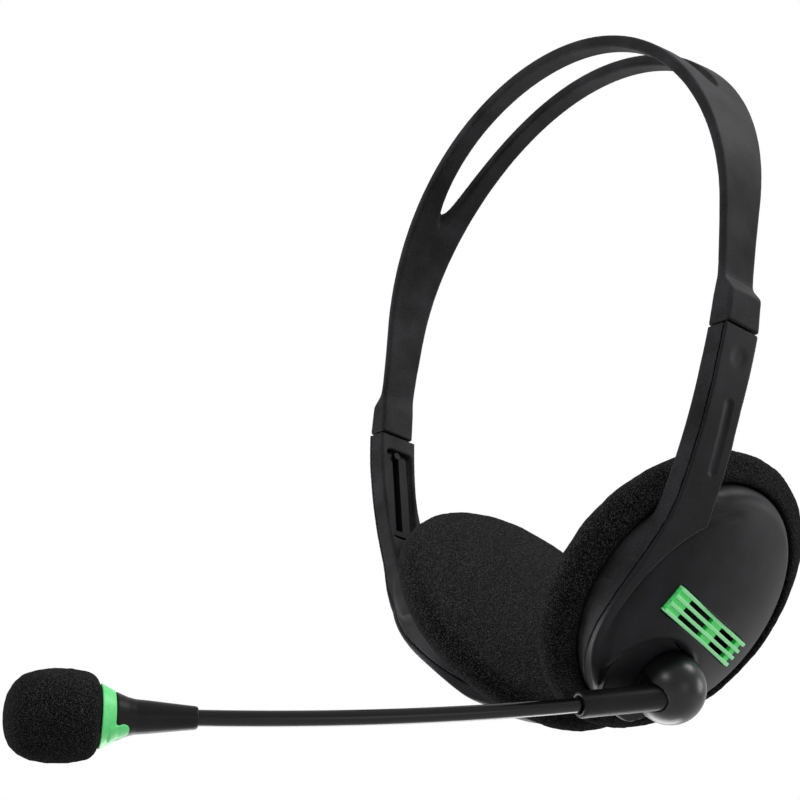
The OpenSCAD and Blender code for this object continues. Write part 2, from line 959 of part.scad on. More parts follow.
module mic_ring() {
    color("#7ef08c")
    at_boom() boom_end()
        translate([0, 0, housing_l])
            rotate_extrude($fn = 64)
                polygon([
                    [capsule_r, 0],
                    [housing_r3, 0],
                    [ring_r, ring_l - 0.2],
                    [ring_r - 0.2, ring_l],
                    [capsule_r, ring_l]
                ]);
}

module mic_capsule() {
    color("#b8babd")
    at_boom() boom_end()
        translate([0, 0, housing_l - 2])
            cylinder(r = capsule_r, h = 2 + ring_l + capsule_l);
}

// Foam windscreen: a rounded drum, squarer at the ring, with a pocket for the capsule.
// Each point of its outline gives the distance from the ring and the radius, as shares.
screen_shape = [
    [0.998, 0.2], [0.985, 0.36], [0.95, 0.575], [0.883, 0.743], [0.784, 0.887], [0.614, 0.97],
    [0.41, 1], [0.193, 0.96], [0.094, 0.9], [0.058, 0.856], [0.03, 0.79], [0.009, 0.683], [0, 0.6]
];
screen_seg = 28;
screen_ring = concat(
    [for (p = screen_shape) [p[1] * screen_r, p[0] * screen_l]],
    [
        [capsule_r + foam_clear, 0],
        [capsule_r + foam_clear, capsule_l + foam_clear]
    ]
);
screen_m = len(screen_ring);
screen_pts = concat(
    [[0, 0, screen_l]],
    [for (p = screen_ring)
        for (i = [0:screen_seg - 1])
            let (a = 360 * i / screen_seg)
            [p[0] * cos(a), p[0] * sin(a), p[1]]],
    [[0, 0, capsule_l + foam_clear]]
);
function sring_at(j, i) = 1 + j * screen_seg + (i % screen_seg);
screen_faces = concat(
    [for (i = [0:screen_seg - 1]) [0, sring_at(0, i + 1), sring_at(0, i)]],
    [for (j = [0:screen_m - 2])
        for (i = [0:screen_seg - 1])
            [sring_at(j, i), sring_at(j + 1, i + 1), sring_at(j + 1, i)]],
    [for (j = [0:screen_m - 2])
        for (i = [0:screen_seg - 1])
            [sring_at(j, i), sring_at(j, i + 1), sring_at(j + 1, i + 1)]],
    [for (i = [0:screen_seg - 1])
        [1 + screen_m * screen_seg, sring_at(screen_m - 1, i), sring_at(screen_m - 1, i + 1)]]
);

module mic_windscreen() {
    color("#141414")
    at_boom() boom_end()
        translate([0, 0, housing_l + ring_l + stack_gap])
            polyhedron(points = screen_pts, faces = screen_faces);
}

headband();
left_slide_tongue();
right_slide_tongue();
tongue_rivets();
left_cup_cover();
right_cup_cover();
left_cup_shell();
right_cup_shell();
left_stop_pin();
right_stop_pin();
left_baffle();
right_baffle();
left_driver_basket();
right_driver_basket();
left_driver_magnet();
right_driver_magnet();
left_driver_cone();
right_driver_cone();
left_ear_foam();
right_ear_foam();
left_cup_screws();
right_cup_screws();
left_vent_grille();
right_vent_grille();
boom_base_ring();
boom_ball();
boom_shaft();
boom_friction_washer();
boom_retainer();
boom_sleeve();
boom_neck();
mic_housing();
mic_ring();
mic_capsule();
mic_windscreen();
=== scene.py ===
# %% [markdown]
# # A light headset with a boom microphone
# The headset is a thin plastic arch, two arms that slide on metal tongues, two round
# ear cups with foam pads, and a bendable boom with a foam windscreen at its end.
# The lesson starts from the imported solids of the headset, and gives each of them the
# soft edges, seams and finishes that moulded plastic and foam have.

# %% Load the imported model
import json
import math
import bpy
import numpy as np
from mathutils import Matrix, Vector

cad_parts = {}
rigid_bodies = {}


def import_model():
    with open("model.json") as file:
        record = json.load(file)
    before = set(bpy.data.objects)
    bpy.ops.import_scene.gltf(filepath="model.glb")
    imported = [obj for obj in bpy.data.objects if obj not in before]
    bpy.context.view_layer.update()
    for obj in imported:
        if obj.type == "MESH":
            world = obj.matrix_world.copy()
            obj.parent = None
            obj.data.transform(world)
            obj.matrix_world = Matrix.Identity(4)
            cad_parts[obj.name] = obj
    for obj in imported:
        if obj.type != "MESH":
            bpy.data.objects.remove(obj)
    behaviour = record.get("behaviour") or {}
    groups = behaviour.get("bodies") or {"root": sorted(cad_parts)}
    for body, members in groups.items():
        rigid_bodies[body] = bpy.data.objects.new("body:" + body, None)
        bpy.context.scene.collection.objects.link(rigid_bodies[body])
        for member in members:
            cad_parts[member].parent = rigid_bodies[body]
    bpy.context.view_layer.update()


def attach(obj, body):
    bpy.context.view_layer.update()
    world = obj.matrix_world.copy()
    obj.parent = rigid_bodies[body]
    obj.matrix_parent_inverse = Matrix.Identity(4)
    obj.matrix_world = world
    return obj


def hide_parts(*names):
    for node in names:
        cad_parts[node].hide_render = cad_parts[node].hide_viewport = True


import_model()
MM = 0.001

# %% [markdown]
# ## The camera
# The headset is seen from its front, from below and from the wearer's left, so that the
# left cup stands large at the right edge and the microphone reaches to the left edge.
# The camera is placed by its centre, in millimetres, and its three axes, and its focal
# length is worked out from the pixels that the picture is wide.

# %% Camera
def add_object(name, data):
    """A new object in the scene that holds this camera, mesh or lamp."""
    item = bpy.data.objects.new(name, data)
    bpy.context.scene.collection.objects.link(item)
    return item


def place_camera(centre, right, up, forward, focal_px, picture_px=800):
    data = bpy.data.cameras.new("camera")
    data.sensor_width = 36
    data.lens = focal_px / picture_px * data.sensor_width
    data.clip_start = 0.01
    data.clip_end = 50
    camera = add_object("camera", data)
    axes = Matrix((right, up, [-v for v in forward])).transposed().to_4x4()
    axes.translation = Vector(centre) * MM
    camera.matrix_world = axes
    bpy.context.scene.camera = camera
    print("lens", round(data.lens, 2), "mm")


place_camera(
    centre=(255.58, -223.25, -150.8),
    right=(0.6187, 0.7759, 0.1235),
    up=(0.2117, -0.3160, 0.9248),
    forward=(-0.7566, 0.5460, 0.3597),
    focal_px=1625.9,
)

# %% [markdown]
# ## Colours and nodes
# A shader works in linear light, and a colour is easier to write as the hex value that
# a screen shows, so one function turns the one into the other. One more function adds a
# node with its settings and its links, and all the materials below are written with it.

# %% Helpers for materials
def hex_colour(text):
    """A colour in linear light from the hex value that a screen shows."""
    parts = [int(text[i:i + 2], 16) / 255 for i in (1, 3, 5)]
    return [p / 12.92 if p <= 0.04045 else ((p + 0.055) / 1.055) ** 2.4 for p in parts] + [1.0]


def add_node(tree, kind, settings=None, **links):
    """A node with its settings; a number or i0, i1 names an input by its place."""
    node = tree.nodes.new(kind)
    for name, value in (settings or {}).items():
        if isinstance(name, str) and name not in node.inputs:
            setattr(node, name, value)
        else:
            node.inputs[name].default_value = value
    for name, source in links.items():
        by_place = name[0] == "i" and name[1:].isdigit()
        key = int(name[1:]) if by_place else name.replace("_", " ")
        tree.links.new(source, node.inputs[key])
    return node


def new_material(name, rough, specular=0.5):
    """A material, its tree, its shader and the object's own coordinates."""
    material = bpy.data.materials.new(name)
    material.use_nodes = True
    tree = material.node_tree
    shader = tree.nodes["Principled BSDF"]
    shader.inputs["Roughness"].default_value = rough
    shader.inputs["Specular IOR Level"].default_value = specular
    place = add_node(tree, "ShaderNodeTexCoord").outputs["Object"]
    return material, tree, shader, place


# %% [markdown]
# ## Moulded plastics
# The arch, the arms and the cups are ABS that was moulded in a spark-eroded tool. That
# leaves a fine even grain about 0.3 mm across, which breaks up every highlight, so the
# black plastic looks matt and a little grey. The dome of the cup and the ball were
# moulded in a smoother tool, so they keep a soft sheen.

# %% Moulded plastic
CLOUD_MM, GRAIN_BUMP_MM = 9, 0.05


def moulded_plastic(name, dark, light, rough, grain_mm, depth, rough_span=0.06, specular=0.055):
    """Plastic with a grain of two tones; depth says how strongly the grain is raised."""
    material, tree, shader, place = new_material(name, rough, specular)
    grain = add_node(tree, "ShaderNodeTexNoise",
                     {"Scale": 1 / (grain_mm * MM), "Detail": 3.0, "Roughness": 0.6}, Vector=place)
    cloud = add_node(tree, "ShaderNodeTexNoise",
                     {"Scale": 1 / (CLOUD_MM * MM), "Detail": 2.0}, Vector=place)
    mixed = add_node(tree, "ShaderNodeMath", {"operation": "ADD"},
                     i0=grain.outputs["Fac"], i1=cloud.outputs["Fac"])
    tone = add_node(tree, "ShaderNodeMapRange",
                    {"From Min": 0.75, "From Max": 1.25}, Value=mixed.outputs[0])
    colour = add_node(tree, "ShaderNodeMix",
                      {"data_type": "RGBA", 6: hex_colour(dark), 7: hex_colour(light)},
                      i0=tone.outputs[0])
    tree.links.new(colour.outputs[2], shader.inputs["Base Color"])
    gloss = add_node(tree, "ShaderNodeMapRange",
                     {"From Min": 0.3, "From Max": 0.7, "To Min": rough - rough_span,
                      "To Max": rough + rough_span}, Value=grain.outputs["Fac"])
    tree.links.new(gloss.outputs[0], shader.inputs["Roughness"])
    bump = add_node(tree, "ShaderNodeBump", {"Strength": depth, "Distance": GRAIN_BUMP_MM * MM},
                    Height=grain.outputs["Fac"])
    tree.links.new(bump.outputs[0], shader.inputs["Normal"])
    return material


# %% The plastics of this headset
# Grained ABS of the arch and the inner mouldings, matt from its moulded texture.
grained_abs = moulded_plastic("grained_black_abs", "#111112", "#2d2d2f",
                              rough=0.55, grain_mm=0.32, depth=0.6)
# Smoother ABS of the arm's skin and the dome, with a soft sheen.
satin_abs = moulded_plastic("satin_black_abs", "#0c0c0d", "#202023",
                            rough=0.45, grain_mm=0.28, depth=0.4, specular=0.075)
# Polished mould face of the ball.
sheen_abs = moulded_plastic("sheen_black_abs", "#0a0a0c", "#111113",
                            rough=0.3, grain_mm=0.3, depth=0.12, rough_span=0.03, specular=0.24)
# Soft thermoplastic of the sleeve and the microphone's housing, satin and slightly oily.
satin_tpe = moulded_plastic("satin_black_tpe", "#080809", "#151516",
                            rough=0.38, grain_mm=0.36, depth=0.25, rough_span=0.04, specular=0.11)
# Grey ABS of the inner plates, duller than the outside.
plain_abs = moulded_plastic("plain_grey_abs", "#232425", "#2d2e30",
                            rough=0.55, grain_mm=0.4, depth=0.3)
# Pale polypropylene of the washer and the loudspeaker's cone, slightly waxy.
pale_pp = moulded_plastic("natural_polypropylene", "#cdc9bd", "#dedad0",
                          rough=0.45, grain_mm=0.5, depth=0.1)
# Green ABS: the grille is one green plastic, painted deeper on its bars as painted shade and
# paler on its ribs as painted highlight, and the ring has a green between the two.
green_finish = {"rough": 0.42, "grain_mm": 0.5, "depth": 0.08, "rough_span": 0.03, "specular": 0.5}
bar_green_painted_shade = moulded_plastic("bar_green_painted_shade", "#45ec6e", "#55f57c", **green_finish)
rib_green_painted_highlight = moulded_plastic("mint_green_abs", "#92fba6", "#a4ffb6", **green_finish)
ring_abs = moulded_plastic("ring_green_abs", "#50c46c", "#5ad078", **green_finish)
# Spring steel given a near-black colour, which shines no more than plastic.
dark_steel = moulded_plastic("near_black_spring_steel", "#0b0b0c", "#121213",
                             rough=0.45, grain_mm=0.6, depth=0.15)
print("plastics", len(bpy.data.materials))

# %% [markdown]
# ## Rubber, foam and metal
# The neck of the boom is a bendable wire in a smooth rubber hose, which shows one long
# bright line. The pads and the windscreen are open-cell polyurethane foam: a black
# sponge whose pores, about a quarter of a millimetre wide, give light and dark specks,
# with the pores painted darker as painted shade in their hollows.

# %% Rubber of the neck
def smooth_rubber(name, haze_mm=2.5):
    """Smooth rubber whose tone and gloss change a little, as where it has been held."""
    material, tree, shader, place = new_material(name, 0.2, 0.2)
    haze = add_node(tree, "ShaderNodeTexNoise",
                    {"Scale": 1 / (haze_mm * MM), "Detail": 4.0}, Vector=place)
    gloss = add_node(tree, "ShaderNodeMapRange", {"To Min": 0.14, "To Max": 0.28},
                     Value=haze.outputs["Fac"])
    tree.links.new(gloss.outputs[0], shader.inputs["Roughness"])
    tint = add_node(tree, "ShaderNodeMix",
                    {"data_type": "RGBA", 6: hex_colour("#070708"), 7: hex_colour("#0d0d0e")},
                    i0=haze.outputs["Fac"])
    tree.links.new(tint.outputs[2], shader.inputs["Base Color"])
    return material


neck_rubber = smooth_rubber("glossy_black_rubber")
print("neck", neck_rubber.name)

# %% Foam of the pads and the windscreen
STRUT_SHARE, PORE_BUMP_MM = 0.55, 0.35


def open_cell_foam(name, pore_mm, dark, light):
    """Dull foam with its pores painted dark as painted shade, and lighter on the struts between
    them.
    """
    material, tree, shader, place = new_material(name, 0.95, 0.0)
    pores = add_node(tree, "ShaderNodeTexVoronoi", {"Scale": 1 / (pore_mm * MM)}, Vector=place)
    struts = add_node(tree, "ShaderNodeTexNoise",
                      {"Scale": 1 / (STRUT_SHARE * pore_mm * MM), "Detail": 4.0, "Roughness": 0.7},
                      Vector=place)
    height = add_node(tree, "ShaderNodeMath", {"operation": "MULTIPLY"},
                      i0=pores.outputs["Distance"], i1=struts.outputs["Fac"])
    # Where the height is low, in the pores, the colour is painted dark: painted shade in the
    # hollows.
    tone = add_node(tree, "ShaderNodeMapRange",
                    {"From Min": 0.2, "From Max": 0.46}, Value=height.outputs[0])
    colour = add_node(tree, "ShaderNodeMix",
                      {"data_type": "RGBA", 6: hex_colour(dark), 7: hex_colour(light)},
                      i0=tone.outputs[0])
    tree.links.new(colour.outputs[2], shader.inputs["Base Color"])
    bump = add_node(tree, "ShaderNodeBump", {"Strength": 1.0, "Distance": PORE_BUMP_MM * MM},
                    Height=height.outputs[0])
    tree.links.new(bump.outputs[0], shader.inputs["Normal"])
    shader.inputs["Sheen Weight"].default_value = 0.03
    shader.inputs["Sheen Roughness"].default_value = 0.6
    return material


pad_foam = open_cell_foam("black_open_cell_foam", 0.28, "#000000", "#3c3c3c")
screen_foam = open_cell_foam("black_windscreen_foam", 0.22, "#000000", "#383838")
print("foams", pad_foam.name, screen_foam.name)

# %% Metals
STREAK_MM = (0.15, 0.15, 4)


def rolled_metal(name, colour_hex, rough):
    """Metal with faint streaks along the way it was rolled or drawn."""
    material, tree, shader, place = new_material(name, rough)
    shader.inputs["Metallic"].default_value = 1.0
    drawn = add_node(tree, "ShaderNodeMapping", {"Scale": [1 / (mm * MM) for mm in STREAK_MM]},
                     Vector=place)
    streak = add_node(tree, "ShaderNodeTexNoise", {"Scale": 1.0, "Detail": 3.0},
                      Vector=drawn.outputs[0])
    gloss = add_node(tree, "ShaderNodeMapRange", {"To Min": rough - 0.08, "To Max": rough + 0.1},
                     Value=streak.outputs["Fac"])
    tree.links.new(gloss.outputs[0], shader.inputs["Roughness"])
    dark = hex_colour(colour_hex)
    light = [min(1, c * 1.25) for c in dark[:3]] + [1]
    tint = add_node(tree, "ShaderNodeMix", {"data_type": "RGBA", 6: dark, 7: light},
                    i0=streak.outputs["Fac"])
    tree.links.new(tint.outputs[2], shader.inputs["Base Color"])
    return material


# Steel with a bright zinc coat, on the screws and the boom's shaft.
zinc_steel = rolled_metal("zinc_plated_steel", "#8d9095", 0.35)
# Pressed aluminium sheet of the loudspeaker's basket and the capsule, softly bright.
pressed_metal = rolled_metal("pressed_aluminium", "#a8aaad", 0.4)
# Nickel over the magnet, warmer and smoother than the zinc.
magnet_metal = rolled_metal("nickel_plated_magnet", "#b4b1a8", 0.25)
print("materials", len(bpy.data.materials))

# %% [markdown]
# ## Solids as distance fields
# Moulded parts have soft edges where faces meet and soft hollows where a rim grows out
# of a dome. Boxes with bevels would lose these, so the mouldings are written as a
# distance field: a function that is below zero in the plastic and above zero outside.
# Two fields are joined or cut with a smooth minimum or maximum, and the width of the
# blend is the fillet. The surface is then drawn where the field is zero.

# %% Field helpers
def join(a, b, width):
    """Both forms in one, with a fillet of this width where they meet."""
    h = np.maximum(width - np.abs(a - b), 0) / width
    return np.minimum(a, b) - h * h * width / 4


def common(a, b, width):
    """What two forms share, with an eased edge; common(a, -b, width) cuts b out of a."""
    return -join(-a, -b, width)


def ease(t):
    """A soft step from 0 to 1."""
    t = np.clip(t, 0, 1)
    return t * t * (3 - 2 * t)


def block(local, low, high):
    """A box in a local frame, from its lowest to its highest corner."""
    return np.maximum.reduce([np.maximum(low[k] - local[k], local[k] - high[k]) for k in range(3)])


# %% [markdown]
# ## From a field to a mesh
# A grid of small cubes is laid over the field. Each edge of the grid that crosses the
# surface makes one four-sided face, whose corners lie in the four cubes round the edge,
# and each corner is the mean of the crossings on its cube. A few Newton steps then pull
# the corners onto the surface, and the slope of the field gives the normals there.

# %% Mesh of a field
SETTLE_STEPS, NORMAL_REACH = 4, 0.08


def slope_of(field, points, reach=0.02):
    """The field's slope at each point, from values a little to both sides of it."""
    out = np.empty_like(points)
    for k in range(3):
        step = np.zeros(3)
        step[k] = reach
        out[:, k] = (field(*(points + step).T) - field(*(points - step).T)) / (2 * reach)
    return out


def surface_of(field, low, high, step):
    """Points, normals and four-sided faces of the surface where a field is zero."""
    axes = [np.arange(a, b + step, step) for a, b in zip(low, high)]
    value = field(*np.meshgrid(*axes, indexing="ij"))
    cells = np.array(value.shape) - 1
    total = int(np.prod(cells))
    sums = np.zeros((total, 3))
    count = np.zeros(total)
    edges = []
    for axis in range(3):
        # Where the field changes its sign along this axis, and at what share of the edge.
        first = [slice(None)] * 3
        second = [slice(None)] * 3
        first[axis] = slice(0, -1)
        second[axis] = slice(1, None)
        a = value[tuple(first)]
        b = value[tuple(second)]
        at = np.argwhere((a < 0) != (b < 0))
        va = a[tuple(at.T)]
        vb = b[tuple(at.T)]
        point = at.astype(float)
        point[:, axis] += va / (va - vb)
        # The four cells round each crossed edge take it into their mean.
        others = [o for o in range(3) if o != axis]
        ring = []
        whole = np.ones(len(at), bool)
        for d0, d1 in ((-1, -1), (0, -1), (0, 0), (-1, 0)):
            cell = at.copy()
            cell[:, others[0]] += d0
            cell[:, others[1]] += d1
            good = np.all((cell >= 0) & (cell < cells), axis=1)
            index = np.where(good, (cell[:, 0] * cells[1] + cell[:, 1]) * cells[2] + cell[:, 2], 0)
            whole &= good
            for k in range(3):
                sums[:, k] += np.bincount(index[good], point[good, k], total)
            count += np.bincount(index[good], minlength=total)
            ring.append(index)
        # Faces turn their outer side to where the field is above zero.
        face = np.stack(ring, 1)[whole]
        outward = (va < 0)[whole] != (axis == 1)
        face[~outward] = face[~outward][:, ::-1]
        edges.append(face)
    used = count > 0
    number = np.cumsum(used) - 1
    faces = number[np.concatenate(edges)].tolist()
    points = sums[used] / count[used][:, None] * step + np.array([a[0] for a in axes])
    for _ in range(SETTLE_STEPS):
        slope = slope_of(field, points)
        size = np.maximum((slope ** 2).sum(1), 1e-9)
        move = -(field(*points.T) / size)[:, None] * slope
        reach = np.linalg.norm(move, axis=1, keepdims=True)
        points += move * np.minimum(1, 0.5 * step / np.maximum(reach, 1e-9))
    slope = slope_of(field, points, NORMAL_REACH)
    normals = slope / np.maximum(np.linalg.norm(slope, axis=1, keepdims=True), 1e-9)
    return points, normals, faces


# %% A piece from points and faces
def make_piece(name, points, faces, material, normals=None, mirrored=False):
    """One mesh object from points in millimetres; mirrored makes the right side's copy."""
    flip = [-1 if mirrored else 1, 1, 1]
    if mirrored:
        faces = [face[::-1] for face in faces]
    mesh = bpy.data.meshes.new(name)
    mesh.from_pydata((np.asarray(points) * flip * MM).tolist(), [], faces)
    mesh.polygons.foreach_set("use_smooth", [True] * len(mesh.polygons))
    mesh.materials.append(material)
    if normals is not None:
        mesh.normals_split_custom_set_from_vertices((normals * flip).tolist())
    mesh.update()
    piece = add_object(name, mesh)
    print(name, len(points), "points", len(faces), "faces")
    return piece


# %% [markdown]
# ## Places on the headset
# The cup leans in toward the wearer at its foot, so its shapes are written in its own
# frame: u runs to the rear, v runs up the cup and h stands out from it. The slide and
# the boom have frames too. All lengths are the solids' own, in millimetres.

# %% Frames of the cup, the slide and the boom
def turn(axis, degrees):
    """The matrix that turns points about one axis."""
    c, s = math.cos(math.radians(degrees)), math.sin(math.radians(degrees))
    rows = {"x": ((1, 0, 0), (0, c, -s), (0, s, c)),
            "y": ((c, 0, s), (0, 1, 0), (-s, 0, c)),
            "z": ((c, -s, 0), (s, c, 0), (0, 0, 1))}
    return np.array(rows[axis])


class Place:
    """A frame given by its origin and its turn; to_world and to_local move points."""

    def __init__(self, origin, axes):
        self.origin = np.array(origin, float)
        self.axes = axes

    def moved(self, offset, axes=np.eye(3)):
        return Place(self.origin + self.axes @ np.array(offset, float), self.axes @ axes)

    def to_world(self, points):
        return self.origin + np.asarray(points) @ self.axes.T

    def to_local(self, x, y, z):
        d = (x - self.origin[0], y - self.origin[1], z - self.origin[2])
        return [sum(self.axes[k, i] * d[k] for k in range(3)) for i in range(3)]


CUP_CENTRE, CUP_TOE, CUP_LEAN = (23.6, 20.7, -57.8), 6, 36
SLIDE_TOP, SLIDE_LEAN = (55.25, 0, -13.6), 16
BALL = (-0.3, -16.1, 13.2)
BOOM_FOOT, BOOM_TURN, BOOM_DIP = (-2.45, -16.8, 16.1), 204.05, 5.8
NECK_FROM, NECK_L, NECK_TURN = 21.9, 77.0, 10.5

cup_axes = turn("z", CUP_TOE) @ turn("y", CUP_LEAN) @ turn("x", 90) @ turn("y", 90)
cup = Place(CUP_CENTRE, cup_axes)
slide = Place(SLIDE_TOP, turn("y", 180 + SLIDE_LEAN))
boom = cup.moved(BOOM_FOOT, turn("z", BOOM_TURN))
sleeve = boom.moved((0, 0, 0), turn("y", 90 + BOOM_DIP)).moved((0, 0, -1))
neck_bend_r = NECK_L / math.radians(NECK_TURN)
neck = boom.moved((0, 0, 0), turn("y", BOOM_DIP)).moved((NECK_FROM, 0, -neck_bend_r))
boom_end = neck.moved((0, 0, 0), turn("y", NECK_TURN)).moved((0, 0, neck_bend_r), turn("y", 90))
print("cup's outward axis", np.round(cup.axes[:, 2], 4), "boom's end", np.round(boom_end.origin, 1))

# %% [markdown]
# ## The headband
# The arch is a strip that is wide at the top, where a long opening lightens it, and
# narrow down the sides, where it ends in a thicker block for the slide. It is canted a
# little, so its rear edge stands higher than its front edge.

# %% Headband
BAND_R, BAND_BORE_R, BAND_HUB_Z, BAND_CANT = 56, 54, 15.3, math.radians(8)
BAND_TOP_Z, BAND_FOOT_Z = 71.3, -13.6
FOOT_HALF_W, TOP_MORE_W = 4.7, 5.2
OPENING_HALF_L, OPENING_HALF_W = 46.2, 4.5
BLOCK_Z = [-13.6, -6.8, -6.2, -4.1, -3.3, -2.4, 0]
BLOCK_OUT = [58.05, 58.33, 58.18, 56.5, 56.12, 56, 56]
BLOCK_IN = [52.45, 53.3, 53.42, 53.8, 53.93, 54, 54]


def headband_field(x, y, z):
    """The arch with its opening, and the sockets for the metal tongues."""
    x = np.abs(x)
    # The strip: half a ring over straight legs, which thicken into the blocks.
    up = -y * math.sin(BAND_CANT) + (z - BAND_HUB_Z) * math.cos(BAND_CANT)
    outer = np.where(up > 0, np.hypot(x, up), x) - BAND_R
    inner = np.where(up > -0.9, np.hypot(x, up + 0.9), x) - BAND_BORE_R
    outer = np.where(z < 0, (x - np.interp(z, BLOCK_Z, BLOCK_OUT)) * 0.93, outer)
    inner = np.where(z < 0, (x - np.interp(z, BLOCK_Z, BLOCK_IN)) * 0.93, inner)
    strip = common(outer, -inner, 0.7)
    # Its width grows toward the top.
    t = np.clip(z / BAND_TOP_Z, 0, 1)
    half = FOOT_HALF_W + TOP_MORE_W * (0.45 * t + 0.55 * ease(t))
    strip = common(strip, (np.abs(y) - half) * 0.98, 0.9)
    # The long opening, with pointed round ends.
    opening = OPENING_HALF_W * np.sqrt(np.maximum(0, 1 - (x / OPENING_HALF_L) ** 4))
    across = np.where(x < OPENING_HALF_L, np.abs(y) - opening, np.hypot(x - OPENING_HALF_L, y))
    slot = np.maximum(across * 0.9, BAND_HUB_Z - z)
    strip = common(strip, -slot, 0.8)
    whole = common(strip, BAND_FOOT_Z - z, 0.4)
    socket = block(slide.to_local(x, y, z), (-1.05, -3.3, -5.1), (1.05, 3.3, 1))
    return np.maximum(whole, -socket)


BAND_LOW, BAND_HIGH, BAND_STEP = (-60.3, -10.6, -14.8), (60.3, 10.6, 73), 0.5
points, normals, faces = surface_of(headband_field, BAND_LOW, BAND_HIGH, BAND_STEP)
headband = make_piece("headband_moulding", points, faces, grained_abs, normals)
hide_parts("headband")
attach(headband, "headband")

# %% [markdown]
# ## The arm and the cup's mouldings
# Each side has two mouldings. The outer one is a thin skin down the arm that spreads
# into a raised crescent along the cup's front and then drops to a shallow dome. The
# inner one is the arm's back, which holds the slide, and the cup's side wall. The seam
# between them runs along the corner of the front face. Both are cut from one field, and
# each edge at the seam is eased, so that a fine dark groove is left between them.

# %% Faces of the arm and the dome
CUP_R, CUP_BORE_R, DOME_WALL = 27.3, 25.3, 1.7
ARM_THICK, ARM_SKIN, ARM_TOP_Z, ARM_FOOT_Z = 5.2, 0.55, -14.1, -62
ARC_A, ARC_A_R = (-65.66, 5.55), 125
ARC_B, ARC_B_R = (-15.76, -19.87), 69
ARC_CHANGE = math.radians(-27)
DOME_U, DOME_H, DOME_R = -5.5, -56.6, 70
REAR_Z = [-80, -64, -58, -54, -50.6, -47.4, -44.2, -41, -36.7, -33, -29, -14]
REAR_Y = [16, 12, 9, 7.3, 6.4, 6.0, 5.8, 5.55, 5.25, 4.85, 4.62, 4.6]
FRONT_Z = [-90, -64, -60, -55.5, -52, -48.5, -43, -37, -30, -22, -14]
FRONT_Y = [4.8, 4.8, 4.8, 4.4, 3.9, 3.6, 3.9, 4.2, 4.5, 4.85, 4.9]


def arm_face(x, z):
    """Distance outside the arm's outer face, which is two arcs in a row."""
    ax, az = x - ARC_A[0], z - ARC_A[1]
    first = np.hypot(ax, az) - ARC_A_R
    second = np.hypot(x - ARC_B[0], z - ARC_B[1]) - ARC_B_R
    return np.where(np.arctan2(az, ax) > ARC_CHANGE, first, second)


def dome_face(u, v, h):
    """Distance outside the cup's dome, which is part of a large ball."""
    return np.sqrt((u - DOME_U) ** 2 + v ** 2 + (h - DOME_H) ** 2) - DOME_R


# %% [markdown]
# Two marks for the thumb are pressed into the arm's outer face: a round dimple near the
# slide, and a long groove below it.

# %% Marks for the thumb
DIMPLE, DIMPLE_R, DIMPLE_DEPTH = (56.7, 0.4, -19.9), 2.9, 0.16
GROOVE = np.array((54.4, 0.8, -29.1)), np.array((50.0, 2.1, -41.8))
GROOVE_R, GROOVE_DEPTH = 1.4, 0.26


def thumb_marks(x, y, z):
    """Depth of the round dimple and the long groove in the arm's outer face."""
    around = np.sqrt((x - DIMPLE[0]) ** 2 + (y - DIMPLE[1]) ** 2 + (z - DIMPLE[2]) ** 2)
    dimple = DIMPLE_DEPTH * ease((DIMPLE_R - around) / 2.2)
    start, way = GROOVE[0], GROOVE[1] - GROOVE[0]
    t = (x - start[0]) * way[0] + (y - start[1]) * way[1] + (z - start[2]) * way[2]
    t = np.clip(t / (way ** 2).sum(), 0, 1)
    away = np.sqrt(sum((p - start[k] - t * way[k]) ** 2 for k, p in enumerate((x, y, z))))
    return dimple + GROOVE_DEPTH * ease((GROOVE_R - away) / 1.1)


# %% [markdown]
# The arm, the crescent and the dome are joined into one form. The parting field is above
# zero in what belongs to the outer moulding and below zero in the inner one. On the left
# side a round boss carries the boom, and the dome is cut away round boss and ball.

# %% Form shared by both mouldings
CRESCENT, CRESCENT_R, CRESCENT_END = (0.5, -1.5), 25.0, (-9, 17.5)
BOSS, BOSS_R, BOSS_TOP, BOSS_FLOOR = (-5.5, -17.3), 10.2, 10.5, 8.5
BALL_R, BALL_ROOM_R = 7.55, 7.8


def boss_side(u, v):
    """Distance outside the boss that carries the boom."""
    return np.hypot(u - BOSS[0], v - BOSS[1]) - BOSS_R


